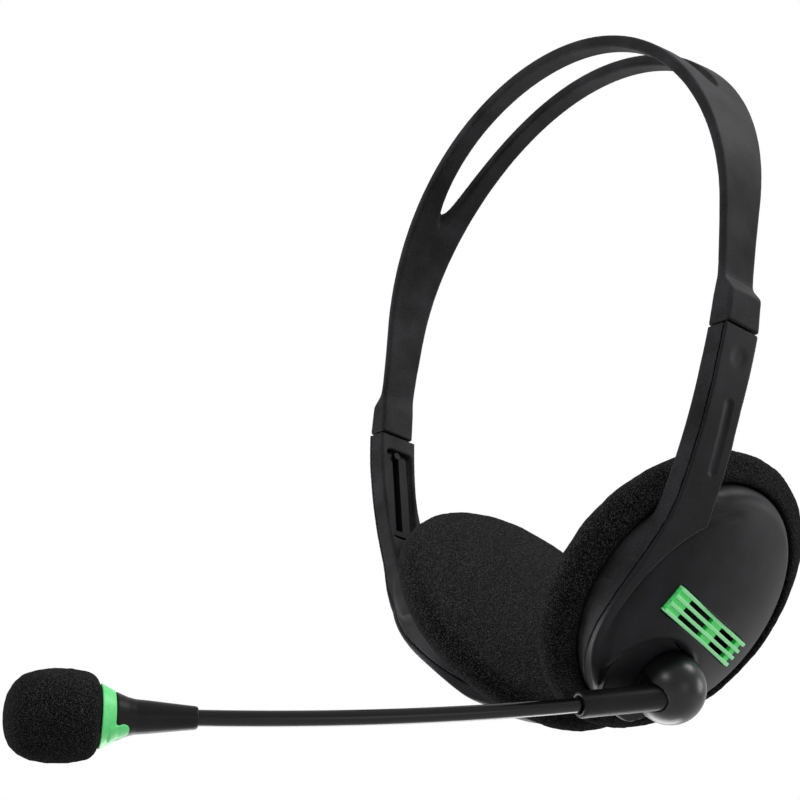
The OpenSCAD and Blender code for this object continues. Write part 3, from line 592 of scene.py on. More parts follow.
def side_form(x, y, z, with_boom):
    """The arm and cup in one, the field that parts them, the dome, and the cup's u, v, h."""
    u, v, h = cup.to_local(x, y, z)
    rim = np.hypot(u, v)
    ring = np.hypot(u - CRESCENT[0], v - CRESCENT[1])
    face = arm_face(x, z)
    marked = face + thumb_marks(x, y, z)
    dome = dome_face(u, v, h)
    # The arm: between its faces and its sides, down to the crescent's inner edge.
    rear = np.interp(z, REAR_Z, REAR_Y) + 0.23 * np.clip(-face, 0, ARM_THICK)
    front = np.interp(z, FRONT_Z, FRONT_Y)
    sides = common(y - rear, -front - y, 0.1) * 0.97
    arm = common(common(marked, sides, 0.45), -ARM_THICK - face, 0.9)
    arm = np.maximum(arm, z - ARM_TOP_Z)
    arm = common(arm, CRESCENT_R - ring, 0.7)
    arm = np.maximum(arm, ARM_FOOT_Z - z)
    # The cup: the crescent over the dome, with a soft crease where they meet.
    crescent = common(marked, CRESCENT_R - ring, 0.7)
    crescent = np.maximum(crescent, np.maximum(u - CRESCENT_END[0], v - CRESCENT_END[1]))
    crease = 0.35 * ease(1 - np.abs(ring - 24.2) / 1.4) * ease((-u - 4) / 6)
    top = join(dome, crescent, 0.8) + crease
    soft = 0.45 + 2.15 * ease((u + 17) / 6)
    body = np.maximum(common(rim - CUP_R, top, soft), 1 - h)
    whole = join(body, arm, 0.02 + 3.2 * ease((-face - 0.8) / 3))
    # The parting: just under the arm's face, then under the dome, then down the cup's wall.
    no_rim = np.minimum(np.maximum(u + 10, v - 12), y - rear)
    inset = -join(sides, rim - CUP_R, 3.2)
    seam = face + ARM_SKIN + np.clip(inset, 0, 1)
    under = dome + 0.9 + 3 * ease((u + 17) / 5)
    part = np.maximum(seam, np.minimum(under, np.maximum(25.9 - ring, no_rim)))
    part = np.maximum(part, np.minimum(24.9 - rim, h - 4))
    if with_boom:
        round_ball = np.hypot(u - BALL[0], v - BALL[1]) - BALL_ROOM_R
        room = join(boss_side(u, v), round_ball, 0.8)
        cut = np.maximum(room * 0.75, BOSS_TOP - h)
        whole = common(whole, -cut, 1.6)
        boss = common(common(boss_side(u, v), h - BOSS_TOP, 0.3), rim - CUP_R, 0.8)
        boss = np.maximum(boss, 2 - h)
        whole = np.minimum(whole, boss)
        part = np.maximum(part, np.minimum(-boss_side(u, v), h - BOSS_FLOOR))
    return whole, part, dome, (u, v, h)


# %% [markdown]
# The vent grille sits in a bed that is sunk in the dome, turned a little and leaning
# with the dome's slope. Under the bed a deeper tray keeps the view through the grille
# dark. Each moulding is eased at the seam and hollowed for what it holds.

# %% Outer moulding
VENT_AT, VENT_TURN, VENT_LEAN = (0.5, -1.8, 12.55), -12, 5.2
VENT_L, VENT_W, VENT_T = 30.6, 6.2, 1.5
SEAM_HALF, SEAM_SOFT = 0.05, 0.32
SHAFT_HOLE_R = 2.03
vent = cup.moved(VENT_AT, turn("z", VENT_TURN) @ turn("y", VENT_LEAN))


def vent_box(local, half_l, half_w, low, high):
    """A box in the grille's frame, from its half sizes and its two heights."""
    return block(local, (-half_l, -half_w, low), (half_l, half_w, high))


def hollow(u, v, h, dome):
    """Room inside the cup, under the dome's wall."""
    inside = np.maximum(np.hypot(u, v) - CUP_BORE_R, dome + DOME_WALL)
    return np.maximum(inside, 0.2 - h)


def channel(x, y, z):
    """Room for the metal tongue inside the arm."""
    return block(slide.to_local(x, y, z), (-1.1, -3.45, -1), (1.1, 3.45, 29.7))


def cover_field(with_boom):
    """The outer moulding, with the bed, the tray and the openings for the grille."""
    def field(x, y, z):
        whole, part, dome, (u, v, h) = side_form(x, y, z, with_boom)
        local = vent.to_local(x, y, z)
        bed = vent_box(local, VENT_L / 2 + 0.12, VENT_W / 2 + 0.12, -VENT_T, 6)
        tray = vent_box(local, VENT_L / 2 + 1.2, VENT_W / 2 + 1.2, -VENT_T - 3.4, 0)
        holes = vent_box(local, VENT_L / 2 - 1.5, 2.4, -VENT_T - 2.6, 0)
        inside = np.maximum(hollow(u, v, h, dome), -tray)
        if with_boom:
            floor = np.maximum(boss_side(u, v), BOSS_FLOOR - h)
            inside = np.maximum(inside, -floor)
            shaft_hole = SHAFT_HOLE_R - np.hypot(u - BALL[0], v - BALL[1])
            whole = np.maximum(whole, shaft_hole)
        part = np.maximum(part, -np.maximum(tray, np.hypot(u, v) - 25))
        outer = common(whole, SEAM_HALF - part, SEAM_SOFT)
        outer = np.maximum(outer, -inside)
        outer = common(outer, -bed, 0.25)
        outer = np.maximum(outer, -holes)
        return np.maximum(outer, -channel(x, y, z))
    return field


# %% [markdown]
# The inner moulding has a window behind the slide. On the left cup a small collar with a
# bore takes the cable in at the foot.

# %% Inner moulding
INLET_DEGREES, INLET_H, INLET_BORE_R = -100, 4.7, 1.4
COLLAR_R, COLLAR_FROM, COLLAR_TO = 2.4, 21.3, 27.8


def cable_inlet(u, v, h):
    """The collar round the cable and the bore through it."""
    a = math.radians(INLET_DEGREES)
    out = u * math.cos(a) + v * math.sin(a)
    away = np.hypot(-u * math.sin(a) + v * math.cos(a), h - INLET_H)
    collar = np.maximum(away - COLLAR_R, np.maximum(COLLAR_FROM - out, out - COLLAR_TO))
    return np.maximum(collar, 1 - h), np.maximum(away - INLET_BORE_R, 20 - out)


def shell_field(with_inlet):
    """The inner moulding, with the window, the tongue's channel and the cable inlet."""
    def field(x, y, z):
        whole, part, _, (u, v, h) = side_form(x, y, z, False)
        inner = common(whole, part + SEAM_HALF, SEAM_SOFT)
        inner = np.maximum(inner, -np.maximum(np.hypot(u, v) - CUP_BORE_R, -h))
        s = slide.to_local(x, y, z)
        window = common(np.abs(s[1] - 0.65) - 3.95, np.abs(s[2] - 17.6) - 12.6, 1.4)
        window = common(window, 0.2 - s[0], 0.3)
        inner = common(inner, -np.maximum(window, s[0] - 5), 0.4)
        if with_inlet:
            collar, bore = cable_inlet(u, v, h)
            inner = common(join(inner, collar, 0.8), -bore, 0.3)
        return np.maximum(inner, -channel(x, y, z))
    return field


# %% Both mouldings of both sides
SIDE_LOW, SIDE_HIGH, SIDE_STEP = (-1.2, -8.2, -90.2), (59.3, 50.2, -13.2), 0.4
for side, with_boom in (("left", True), ("right", False)):
    for kind, field, finish in (("cover", cover_field(with_boom), satin_abs),
                                ("shell", shell_field(with_boom), grained_abs)):
        points, normals, faces = surface_of(field, SIDE_LOW, SIDE_HIGH, SIDE_STEP)
        piece = make_piece(f"{side}_cup_{kind}_moulding", points, faces, finish, normals,
                           mirrored=side == "right")
        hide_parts(f"{side}_cup_{kind}")
        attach(piece, f"{side}_arm")

# %% [markdown]
# ## Surfaces of revolution
# The ear foams and the windscreen are turned shapes. One helper turns a profile of
# radius and height round an axis, with poles closed where the radius is zero. Two more
# spread a profile's points evenly and give the seeded lumps that soft foam has.

# %% Turned shapes
def turned(profile, segments):
    """Points and quads of a closed profile turned round z; radius 0 makes a pole."""
    points, rings = [], []
    for r, z in profile:
        if r < 1e-6:
            rings.append([len(points)])
            points.append((0, 0, z))
        else:
            rings.append(list(range(len(points), len(points) + segments)))
            for i in range(segments):
                a = 2 * math.pi * i / segments
                points.append((r * math.cos(a), r * math.sin(a), z))
    faces = []
    for low, high in zip(rings, rings[1:]):
        for i in range(segments):
            j = (i + 1) % segments
            if len(low) == 1:
                faces.append((low[0], high[j], high[i]))
            elif len(high) == 1:
                faces.append((low[i], low[j], high[0]))
            else:
                faces.append((low[i], low[j], high[j], high[i]))
    return np.array(points), faces


def resample(profile, spacing):
    """Even points along a profile, so that its faces are about square."""
    profile = np.array(profile, float)
    steps = np.hypot(*np.diff(profile, axis=0).T)
    length = np.concatenate([[0], np.cumsum(steps)])
    t = np.linspace(0, length[-1], int(length[-1] / spacing) + 1)
    return np.stack([np.interp(t, length, profile[:, k]) for k in (0, 1)], 1)


def lumps(points, size, seed):
    """Smooth seeded unevenness between -1 and 1, made of waves about size wide."""
    rng = np.random.default_rng(seed)
    total = np.zeros(len(points))
    for _ in range(24):
        way = rng.normal(size=3)
        way *= 2 * math.pi / (size * rng.uniform(0.7, 1.6)) / np.linalg.norm(way)
        total += np.sin(points @ way + rng.uniform(0, 2 * math.pi))
    return total / 6


# %% [markdown]
# ## Ear foams and windscreen
# Each ear foam is a thin round sock of foam that wraps the cup's plate: a low pillow
# toward the head, a full rim, and a lip drawn in behind the plate. The windscreen is a
# thick drum of foam pulled over the capsule. Foam is stiff enough to hold its form, so
# these are turned shapes with gathers and unevenness moved into them, not cloth.

# %% Ear foam's outline
FOAM_R, FOAM_ROUND_R, FOAM_CROWN = 33.1, 3.8, 2.5


def ear_foam_outline():
    """Radius and height from the pillow's middle, over the rim and into the pocket."""
    ring_r = FOAM_R - FOAM_ROUND_R
    pillow = [(ring_r * t, -FOAM_ROUND_R - FOAM_CROWN * (1 - t ** 2.4))
              for t in np.linspace(0, 1, 30)]
    rim = [(ring_r + FOAM_ROUND_R * math.cos(a), FOAM_ROUND_R * math.sin(a))
           for a in np.radians(np.linspace(-90, 62, 26))[1:]]
    lip = [(30.4, 4.1), (29.2, 4.9), (28.3, 5.2), (27.7, 5.0), (27.62, 4.4)]
    pocket = [(27.62, 1.3), (29.5, 1.3), (29.5, -1.3), (15, -1.3), (0, -1.3)]
    return np.concatenate([resample(pillow + rim + lip, 0.75), resample(pocket, 1.6)[1:]])


# %% [markdown]
# The rim gathers a little. It is drawn in toward two sides and is fuller toward a
# third, as foam that was pulled on by hand sits. Its lip dips over the collar of the
# cable inlet, and small lumps cover all that shows.

# %% Ear foams
LUMP = 0.05


def toward(angle, degrees):
    """1 in one direction round the axis, falling to 0 at a quarter turn from it."""
    return np.clip(np.cos(angle - math.radians(degrees)), 0, 1) ** 2


def ear_foam_points():
    """The outline turned round, with the unevenness of real foam."""
    points, faces = turned(ear_foam_outline(), 260)
    angle = np.arctan2(points[:, 1], points[:, 0])
    radius = np.hypot(points[:, 0], points[:, 1])
    # Gathers and lumps, only where the foam shows.
    free = ease((radius - 26) / 6)
    gather = LUMP * np.cos(9 * angle) + LUMP * np.cos(23 * angle + 1)
    uneven = LUMP * lumps(points, size=9, seed=3) + LUMP * lumps(points, size=1.9, seed=4)
    shown = (points[:, 2] < -1.5) | (radius > 30.6) | (points[:, 2] > 3.5)
    grow = np.where(shown, uneven + gather * free, 0)
    out = np.stack([points[:, 0], points[:, 1], points[:, 2] * 2.5], 1)
    out /= np.maximum(np.linalg.norm(out, axis=1, keepdims=True), 1e-6)
    points = points + out * grow[:, None]
    # The dip over the collar.
    low = ease(1 - np.abs((np.degrees(angle) - INLET_DEGREES + 180) % 360 - 180) / 8)
    lip = (points[:, 2] > 2.6) & (radius < 31.5)
    points[:, 2] = np.where(lip, points[:, 2] - (points[:, 2] - 2.6) * low, points[:, 2])
    # The rim is drawn in and let out, and sits a little off the plate's middle.
    drawn = 0.6 * toward(angle, 130) + 0.9 * toward(angle, -35) - 1.2 * toward(angle, 48)
    drawn = drawn * ease((radius - 29) / 3)
    points[:, :2] *= (1 - drawn / np.maximum(radius, 1))[:, None]
    points[:, :2] += np.array((0.35, -0.3)) * ease((radius - 28) / 3)[:, None]
    return points, faces


foam_points, foam_faces = ear_foam_points()
for side in ("left", "right"):
    pad = make_piece(f"{side}_foam_pad", cup.to_world(foam_points), foam_faces, pad_foam,
                     mirrored=side == "right")
    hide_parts(f"{side}_ear_foam")
    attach(pad, f"{side}_arm")

# %% [markdown]
# The windscreen's outline is rounded twice by taking the middles of its steps. A pocket
# in its flat end takes the capsule, and the foam bulges a little everywhere else.

# %% Windscreen
SCREEN_L, SCREEN_R = 16.5, 8.35
CAPSULE_POCKET_R, CAPSULE_POCKET_L = 3.3, 5.3
HOUSING_L, RING_L, SCREEN_GAP = 15, 2.6, 0.05
SCREEN_OUTLINE = [
    (0, 1), (0.1, 0.999), (0.2, 0.998), (0.36, 0.985), (0.575, 0.95), (0.743, 0.883),
    (0.887, 0.784), (0.97, 0.614), (1, 0.41), (0.96, 0.193), (0.9, 0.094),
    (0.856, 0.058), (0.79, 0.03), (0.683, 0.009), (0.6, 0)]


def windscreen_points():
    """The rounded outline turned round, with the capsule's pocket and small lumps."""
    outline = np.array([(r * SCREEN_R, z * SCREEN_L) for r, z in SCREEN_OUTLINE])
    for _ in range(2):
        middles = (outline[1:] + outline[:-1]) / 2
        outline = resample(np.concatenate([[outline[0]], middles, [outline[-1]]]), 0.5)
    pocket = [(CAPSULE_POCKET_R, 0), (CAPSULE_POCKET_R, CAPSULE_POCKET_L), (0, CAPSULE_POCKET_L)]
    points, faces = turned(np.concatenate([outline, pocket]), 150)
    away = points - np.array((0, 0, SCREEN_L / 2))
    away /= np.maximum(np.linalg.norm(away, axis=1, keepdims=True), 1e-6)
    outer = (np.hypot(points[:, 0], points[:, 1]) > 4.5) | (points[:, 2] > 8)
    bumps = LUMP * lumps(points, size=6, seed=11) + LUMP * lumps(points, size=1.4, seed=12)
    return points + away * (bumps * outer)[:, None], [face[::-1] for face in faces]


screen_points, screen_faces = windscreen_points()
screen_place = boom_end.moved((0, 0, HOUSING_L + RING_L + SCREEN_GAP))
windscreen = make_piece("foam_windscreen", screen_place.to_world(screen_points),
                        screen_faces, screen_foam)
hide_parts("mic_windscreen")
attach(windscreen, "boom")

# %% [markdown]
# ## The ball and the boom
# The ball turns on the cup and carries the boom. The boom starts in a thick sleeve that
# enters the ball's side, and a glossy hose runs on from it to the microphone. The ball
# is cut away under the sleeve, where the tool had to draw out.

# %% Ball and sleeve
SLEEVE_R, SLEEVE_L, SLEEVE_BORE_R, SLEEVE_BORE_FROM = 2.7, 22.9, 1.62, 18.8


def ball_field(x, y, z):
    """The ball, with a pocket under the sleeve and a socket that is open toward it."""
    u, v, h = cup.to_local(x, y, z)
    away = np.hypot(u - BALL[0], v - BALL[1])
    body = np.where(h > BALL[2], np.hypot(away, h - BALL[2]), away) - BALL_R
    body = common(body, 10.85 - h, 0.4)
    a, b, c = sleeve.to_local(x, y, z)
    under = np.maximum(np.maximum(np.abs(b) - 3.3, -a), 5.6 - c)
    body = common(body, -under, 0.4)
    socket = np.maximum(np.hypot(a, b) - 2.78, -0.15 - c)
    return common(body, -socket, 0.3)


def sleeve_field(x, y, z):
    """A round tube, solid at the ball and bored where the hose enters."""
    a, b, c = sleeve.to_local(x, y, z)
    away = np.hypot(a, b)
    tube = common(away - SLEEVE_R, np.maximum(-c, c - SLEEVE_L), 0.7)
    return common(tube, -np.maximum(away - SLEEVE_BORE_R, SLEEVE_BORE_FROM - c), 0.5)


# %% [markdown]
# The microphone's housing widens like a horn toward the windscreen, and the green ring
# closes it. A rounded tongue of the ring lies along the housing.

# %% Housing and ring
HOUSING_AT = [0, 1, 4, 9, 11.25, 12.75, 15]
HOUSING_R = [2.05, 2.16, 2.45, 2.95, 3.12, 3.5, 4.45]
RING_AT, RING_R = [11, 12.75, 15, 17.6], [3.25, 3.62, 4.52, 5.8]
TONGUE_ANGLE, TONGUE_R, TONGUE_FROM = math.radians(170), 1.65, 14.1


def housing_field(x, y, z):
    a, b, c = boom_end.to_local(x, y, z)
    away = np.hypot(a, b)
    shape = away - np.interp(c, HOUSING_AT, HOUSING_R)
    shape = common(shape * 0.95, np.maximum(-c, c - HOUSING_L), 0.5)
    bore = np.minimum(np.maximum(away - 1.55, c - 3.1), np.maximum(away - 3, 13 - c))
    return np.maximum(shape, -bore)


def ring_field(x, y, z):
    a, b, c = boom_end.to_local(x, y, z)
    away = np.hypot(a, b)
    flare = np.interp(c, RING_AT, RING_R)
    ring = common((away - flare) * 0.9, np.maximum(HOUSING_L - c, c - HOUSING_L - RING_L), 0.25)
    # The tongue: a strip with a round end that follows the housing.
    angle = np.arctan2(b, a) - TONGUE_ANGLE
    tongue = np.hypot(away * np.sin(angle), np.maximum(TONGUE_FROM - c, 0)) - TONGUE_R
    tongue = np.maximum(np.maximum(tongue, -np.cos(angle)), np.maximum(12.3 - c, c - 16))
    tongue = common(tongue, (away - flare - 0.12) * 0.9, 0.3)
    tongue = np.maximum(tongue, flare - 0.5 - away)
    return np.maximum(join(ring, tongue, 0.5), 3 - away)


# %% The boom's moulded pieces
boom_pieces = [
    ("boom_ball", ball_field, sheen_abs, cup, BALL, 10.5, 0.3),
    ("boom_sleeve", sleeve_field, satin_tpe, sleeve, (0, 0, 11.5), 13, 0.3),
    ("mic_housing", housing_field, satin_tpe, boom_end, (0, 0, 7.5), 9.5, 0.3),
    ("mic_ring", ring_field, ring_abs, boom_end, (0, 0, 15.5), 7.5, 0.25),
]
for node, field, finish, home, middle, reach, step in boom_pieces:
    centre = home.to_world([middle])[0]
    points, normals, faces = surface_of(field, centre - reach, centre + reach, step)
    piece = make_piece(f"{node}_moulding", points, faces, finish, normals)
    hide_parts(node)
    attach(piece, "boom")

# %% [markdown]
# ## Geometry Nodes: the neck and the grille
# The neck follows an arc, and the grille repeats one rib and three kinds of bar across
# its width. Both are rules, so each is a small node tree with named inputs. The trees
# end in Realize Instances and Set Material, and the result is kept as a plain mesh.

# %% Helpers for node trees
def new_tree(name, inputs):
    """An empty node tree, the sockets of its named inputs, and its output's socket."""
    tree = bpy.data.node_groups.new(name, "GeometryNodeTree")
    tree.interface.new_socket("Geometry", in_out="OUTPUT", socket_type="NodeSocketGeometry")
    for label, kind in inputs:
        tree.interface.new_socket(label, in_out="INPUT", socket_type=kind)
    given = tree.nodes.new("NodeGroupInput")
    shown = tree.nodes.new("NodeGroupOutput")
    return tree, given.outputs, shown.inputs["Geometry"]


def bake_tree(name, tree, values, place):
    """Run a tree on an empty mesh, keep the result, and move it to its place."""
    holder = add_object(name + "_tree", bpy.data.meshes.new(name + "_seed"))
    modifier = holder.modifiers.new("nodes", "NODES")
    modifier.node_group = tree
    for item in tree.interface.items_tree:
        if item.item_type == "SOCKET" and item.in_out == "INPUT" and item.name in values:
            modifier[item.identifier] = values[item.name]
    graph = bpy.context.evaluated_depsgraph_get()
    mesh = bpy.data.meshes.new_from_object(holder.evaluated_get(graph), depsgraph=graph)
    bpy.data.objects.remove(holder)
    matrix = Matrix(place.axes.tolist()).to_4x4()
    matrix.translation = Vector(place.origin * MM)
    mesh.transform(matrix)
    mesh.name = name
    piece = add_object(name, mesh)
    print(name, len(mesh.vertices), "points", len(mesh.polygons), "faces")
    return piece


# %% Neck along its arc
HOSE_R, NECK_IN_SLEEVE, NECK_IN_HOUSING = 1.5, 4, 3
tree, given, shown = new_tree("neck_along_arc", [
    ("Bend Radius", "NodeSocketFloat"), ("Start Angle", "NodeSocketFloat"),
    ("Sweep Angle", "NodeSocketFloat"), ("Hose Radius", "NodeSocketFloat"),
    ("Material", "NodeSocketMaterial")])
arc = add_node(tree, "GeometryNodeCurveArc", {"Resolution": 120}, Radius=given["Bend Radius"],
               Start_Angle=given["Start Angle"], Sweep_Angle=given["Sweep Angle"])
rim = add_node(tree, "GeometryNodeCurvePrimitiveCircle", {"Resolution": 32},
               Radius=given["Hose Radius"])
hose = add_node(tree, "GeometryNodeCurveToMesh", {"Fill Caps": True}, Curve=arc.outputs["Curve"],
                Profile_Curve=rim.outputs["Curve"])
real = add_node(tree, "GeometryNodeRealizeInstances", i0=hose.outputs["Mesh"])
done = add_node(tree, "GeometryNodeSetMaterial", Geometry=real.outputs[0],
                Material=given["Material"])
tree.links.new(done.outputs[0], shown)
before = math.radians(NECK_IN_SLEEVE / NECK_L * NECK_TURN)
after = math.radians(NECK_IN_HOUSING / NECK_L * NECK_TURN)
upright = neck.moved((0, 0, 0), turn("x", 90))
neck_piece = bake_tree("boom_neck_hose", tree, {
    "Bend Radius": neck_bend_r * MM, "Start Angle": math.pi / 2 + before,
    "Sweep Angle": -(before + math.radians(NECK_TURN) + after), "Hose Radius": HOSE_R * MM,
    "Material": neck_rubber}, upright)
neck_mesh = neck_piece.data
neck_mesh.polygons.foreach_set("use_smooth", [len(p.vertices) == 4 for p in neck_mesh.polygons])
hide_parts("boom_neck")
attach(neck_piece, "boom")

# %% [markdown]
# The grille has four ribs along it, painted pale green as painted highlight. The three gaps
# between them are closed by bars painted a deeper green as painted shade, each given by its
# share of the length and the place of its middle.

# %% Tree of the grille: ribs
RIBS, RIB_W, RIB_PITCH, RIB_EDGE, BAR_OVERLAP = 4, 0.8, 1.8, 0.12, 0.1
BAR_SHARES = ((0.17, -0.415), (0.14, 0.09), (0.065, 0.4425))
tree, given, shown = new_tree("grille_rows", [
    ("Length", "NodeSocketFloat"), ("Rib Width", "NodeSocketFloat"), ("Pitch", "NodeSocketFloat"),
    ("Depth", "NodeSocketFloat"), ("Rib Material", "NodeSocketMaterial"),
    ("Bar Material", "NodeSocketMaterial")])
across = add_node(tree, "ShaderNodeCombineXYZ", Y=given["Pitch"])
start = add_node(tree, "ShaderNodeVectorMath", {"operation": "SCALE", "Scale": (1 - RIBS) / 2},
                 i0=across.outputs[0])
ribs = add_node(tree, "GeometryNodeMeshLine", {"Count": RIBS}, Start_Location=start.outputs[0],
                Offset=across.outputs[0])
size = add_node(tree, "ShaderNodeCombineXYZ", X=given["Length"], Y=given["Rib Width"],
                Z=given["Depth"])
rib = add_node(tree, "GeometryNodeMeshCube", Size=size.outputs[0])
rib_rows = add_node(tree, "GeometryNodeInstanceOnPoints", Points=ribs.outputs["Mesh"],
                    Instance=rib.outputs["Mesh"])
rib_done = add_node(tree, "GeometryNodeSetMaterial", Geometry=rib_rows.outputs[0],
                    Material=given["Rib Material"])

# %% Tree of the grille: bars in the gaps
start = add_node(tree, "ShaderNodeVectorMath", {"operation": "SCALE", "Scale": (2 - RIBS) / 2},
                 i0=across.outputs[0])
gaps = add_node(tree, "GeometryNodeMeshLine", {"Count": RIBS - 1}, Start_Location=start.outputs[0],
                Offset=across.outputs[0])
wide = add_node(tree, "ShaderNodeMath", {"operation": "ADD", 1: BAR_OVERLAP * MM},
                i0=given["Pitch"])
thin = add_node(tree, "ShaderNodeMath", {"operation": "MULTIPLY", 1: 0.7}, i0=given["Depth"])
drop = add_node(tree, "ShaderNodeMath", {"operation": "MULTIPLY", 1: -0.15}, i0=given["Depth"])
bars = add_node(tree, "GeometryNodeJoinGeometry")
for share, middle in BAR_SHARES:
    long = add_node(tree, "ShaderNodeMath", {"operation": "MULTIPLY", 1: share},
                    i0=given["Length"])
    shift = add_node(tree, "ShaderNodeMath", {"operation": "MULTIPLY", 1: middle},
                     i0=given["Length"])
    size = add_node(tree, "ShaderNodeCombineXYZ", X=long.outputs[0], Y=wide.outputs[0],
                    Z=thin.outputs[0])
    bar = add_node(tree, "GeometryNodeMeshCube", Size=size.outputs[0])
    spot = add_node(tree, "ShaderNodeCombineXYZ", X=shift.outputs[0], Z=drop.outputs[0])
    moved = add_node(tree, "GeometryNodeTransform", Geometry=bar.outputs["Mesh"],
                     Translation=spot.outputs[0])
    row = add_node(tree, "GeometryNodeInstanceOnPoints", Points=gaps.outputs["Mesh"],
                   Instance=moved.outputs[0])
    tree.links.new(row.outputs[0], bars.inputs[0])
bar_done = add_node(tree, "GeometryNodeSetMaterial", Geometry=bars.outputs[0],
                    Material=given["Bar Material"])
both = add_node(tree, "GeometryNodeJoinGeometry")
tree.links.new(rib_done.outputs[0], both.inputs[0])
tree.links.new(bar_done.outputs[0], both.inputs[0])
real = add_node(tree, "GeometryNodeRealizeInstances", i0=both.outputs[0])
tree.links.new(real.outputs[0], shown)
print("grille tree", len(tree.nodes), "nodes")

# %% Both grilles
# The ribs take the paler green, a painted highlight, and the bars the deeper green, a painted
# shade.
grille_place = vent.moved((0, 0, -VENT_T / 2))
for side in ("left", "right"):
    grille = bake_tree(f"{side}_vent_ribs", tree, {
        "Length": VENT_L * MM, "Rib Width": RIB_W * MM, "Pitch": RIB_PITCH * MM,
        "Depth": VENT_T * MM, "Rib Material": rib_green_painted_highlight, "Bar Material": bar_green_painted_shade}, grille_place)
    if side == "right":
        grille.data.transform(Matrix.Diagonal((-1, 1, 1, 1)))
        grille.data.flip_normals()
    soft = grille.modifiers.new("soft edges", "BEVEL")
    soft.width = RIB_EDGE * MM
    soft.segments = 2
    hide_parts(f"{side}_vent_grille")
    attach(grille, f"{side}_arm")

# %% [markdown]
# ## Finishes of the parts that keep their solids
# The slides, pins, screws, plates and loudspeakers are simple shapes, right as they
# are. They only take the finish of what they are made of.

# %% Materials for kept parts
finish_of = {
    "slide_tongue": dark_steel, "tongue_rivets": dark_steel, "stop_pin": dark_steel,
    "baffle": plain_abs, "driver_basket": pressed_metal, "driver_magnet": magnet_metal,
    "driver_cone": pale_pp, "cup_screws": zinc_steel, "boom_base_ring": plain_abs,
    "boom_shaft": zinc_steel, "boom_friction_washer": pale_pp, "boom_retainer": zinc_steel,
    "mic_capsule": pressed_metal,
}
kept = 0
for item in list(bpy.data.objects):
    for key, finish in finish_of.items():
        if item.type == "MESH" and item.name.endswith(key):
            if not item.material_slots:
                item.data.materials.append(finish)
            for slot in item.material_slots:
                slot.material = finish
            kept += 1
print("kept parts with a finish", kept)

# %% [markdown]
# ## Floor
# The headset floats over a plain pale floor, which lies below the camera because the
# camera looks up. To a ray of bounced light the floor is grey, so that it throws little
# light up onto the black plastic.

# %% Floor
FLOOR_HALF, FLOOR_Z = 3.0, -0.32


def stage_floor():
    mesh = bpy.data.meshes.new("floor")
    corners = ((-1, -1), (1, -1), (1, 1), (-1, 1))
    mesh.from_pydata([(i * FLOOR_HALF, j * FLOOR_HALF, FLOOR_Z) for i, j in corners], [],
                     [(0, 1, 2, 3)])
    floor = add_object("floor", mesh)
    material, tree, shader, place = new_material("pale_floor", 0.9)
    speck = add_node(tree, "ShaderNodeTexNoise", {"Scale": 40.0}, Vector=place)
    tint = add_node(tree, "ShaderNodeMix",
                    {"data_type": "RGBA", 6: hex_colour("#f0f0f0"), 7: hex_colour("#f6f6f6")},
                    i0=speck.outputs["Fac"])
    ray = add_node(tree, "ShaderNodeLightPath")
    shade = add_node(tree, "ShaderNodeMix", {"data_type": "RGBA", 7: hex_colour("#3a3a3a")},
                     i0=ray.outputs["Is Diffuse Ray"], i6=tint.outputs[2])
    tree.links.new(shade.outputs[2], shader.inputs["Base Color"])
    mesh.materials.append(material)


stage_floor()
print("floor at", FLOOR_Z, "m")

# %% [markdown]
# ## Lamps
# All the light is soft. Large lamps stand in front, at the wearer's left, behind and
# above, and give the black plastic its long grey highlights. A small one at the other
# side lights the far arm, and two weak ones below lift the underside and the microphone.

# %% Lamps
def soft_lamp(name, place, target, size, watts):
    """A round lamp, its width in metres, that is turned to its target."""
    data = bpy.data.lights.new(name, "AREA")
    data.shape = "DISK"
    data.size = size
    data.energy = watts
    lamp = add_object(name, data)
    lamp.location = place
    lamp.visible_camera = False
    lamp.rotation_euler = (Vector(target) - Vector(place)).to_track_quat("-Z", "Y").to_euler()


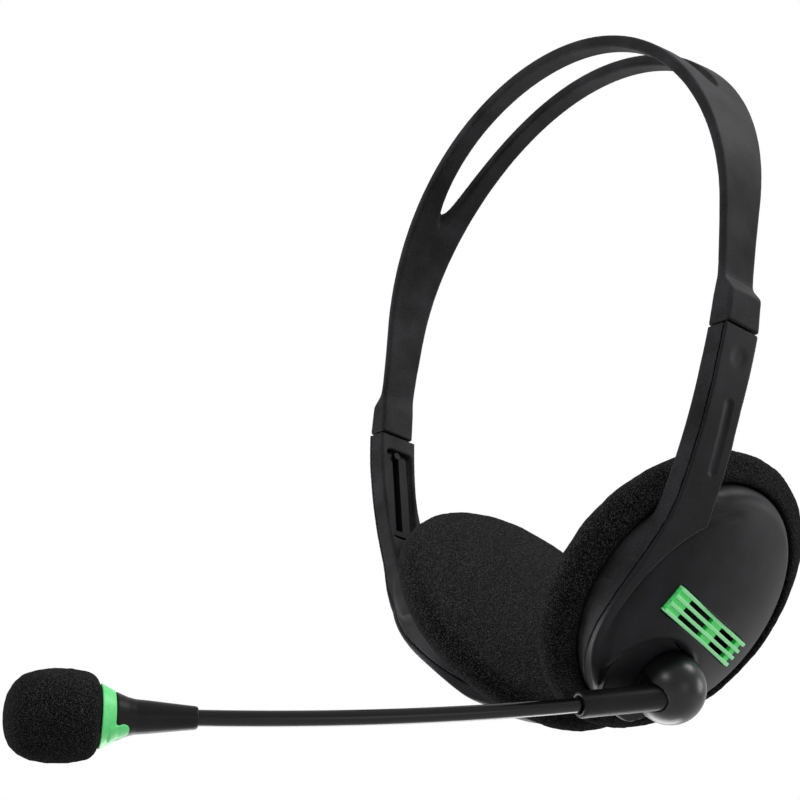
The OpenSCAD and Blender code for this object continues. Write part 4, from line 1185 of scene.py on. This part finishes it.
headset_middle = (0.02, 0.0, -0.02)
soft_lamp("key_lamp", (0.6, -1.05, 0.42), headset_middle, 0.4, 4)
soft_lamp("side_lamp", (1.25, 0.05, -0.12), (0.02, 0.0, -0.07), 0.5, 1.1)
soft_lamp("rear_lamp", (0.6, 1.05, 0.2), (0.02, 0.0, -0.05), 0.5, 4)
soft_lamp("top_lamp", (0.5, 0.55, 0.9), headset_middle, 0.5, 6)
soft_lamp("left_lamp", (-0.3, -0.16, -0.16), (-0.04, 0.0, -0.06), 0.15, 1.0)
soft_lamp("mic_lamp", (0.06, -0.14, -0.26), (0.04, -0.09, -0.1), 0.12, 0.12)
soft_lamp("low_lamp", (-0.16, 0.16, -0.3), (0.0, -0.02, -0.08), 0.3, 1.2)
print("lamps", len(bpy.data.lights))

# %% [markdown]
# ## World
# The world lights the headset weakly from below and more strongly from above. Where the
# camera, a reflection or a clear part looks at it, it is plain white.

# %% World
SKY_FROM, SKY_TO, SKY_LOW, SKY_HIGH = -0.3, 0.9, 0.16, 1.3

world = bpy.data.worlds.new("studio")
bpy.context.scene.world = world
world.use_nodes = True
tree = world.node_tree
background = tree.nodes["Background"]
path = add_node(tree, "ShaderNodeLightPath")
seen = add_node(tree, "ShaderNodeMath", {"operation": "MAXIMUM"},
                i0=path.outputs["Is Camera Ray"], i1=path.outputs["Is Glossy Ray"])
seen = add_node(tree, "ShaderNodeMath", {"operation": "MAXIMUM"},
                i0=seen.outputs[0], i1=path.outputs["Is Transmission Ray"])
way = add_node(tree, "ShaderNodeTexCoord")
height = add_node(tree, "ShaderNodeSeparateXYZ", Vector=way.outputs["Generated"])
sky = add_node(tree, "ShaderNodeMapRange",
               {"From Min": SKY_FROM, "From Max": SKY_TO, "To Min": SKY_LOW, "To Max": SKY_HIGH},
               Value=height.outputs["Z"])
level = add_node(tree, "ShaderNodeMix", {"data_type": "FLOAT", 3: 1.0}, i0=seen.outputs[0],
                 i2=sky.outputs[0])
background.inputs["Color"].default_value = (1, 1, 1, 1)
tree.links.new(level.outputs[0], background.inputs["Strength"])
bpy.context.scene.view_settings.view_transform = "Standard"
print("world", world.name, len(tree.nodes), "nodes")
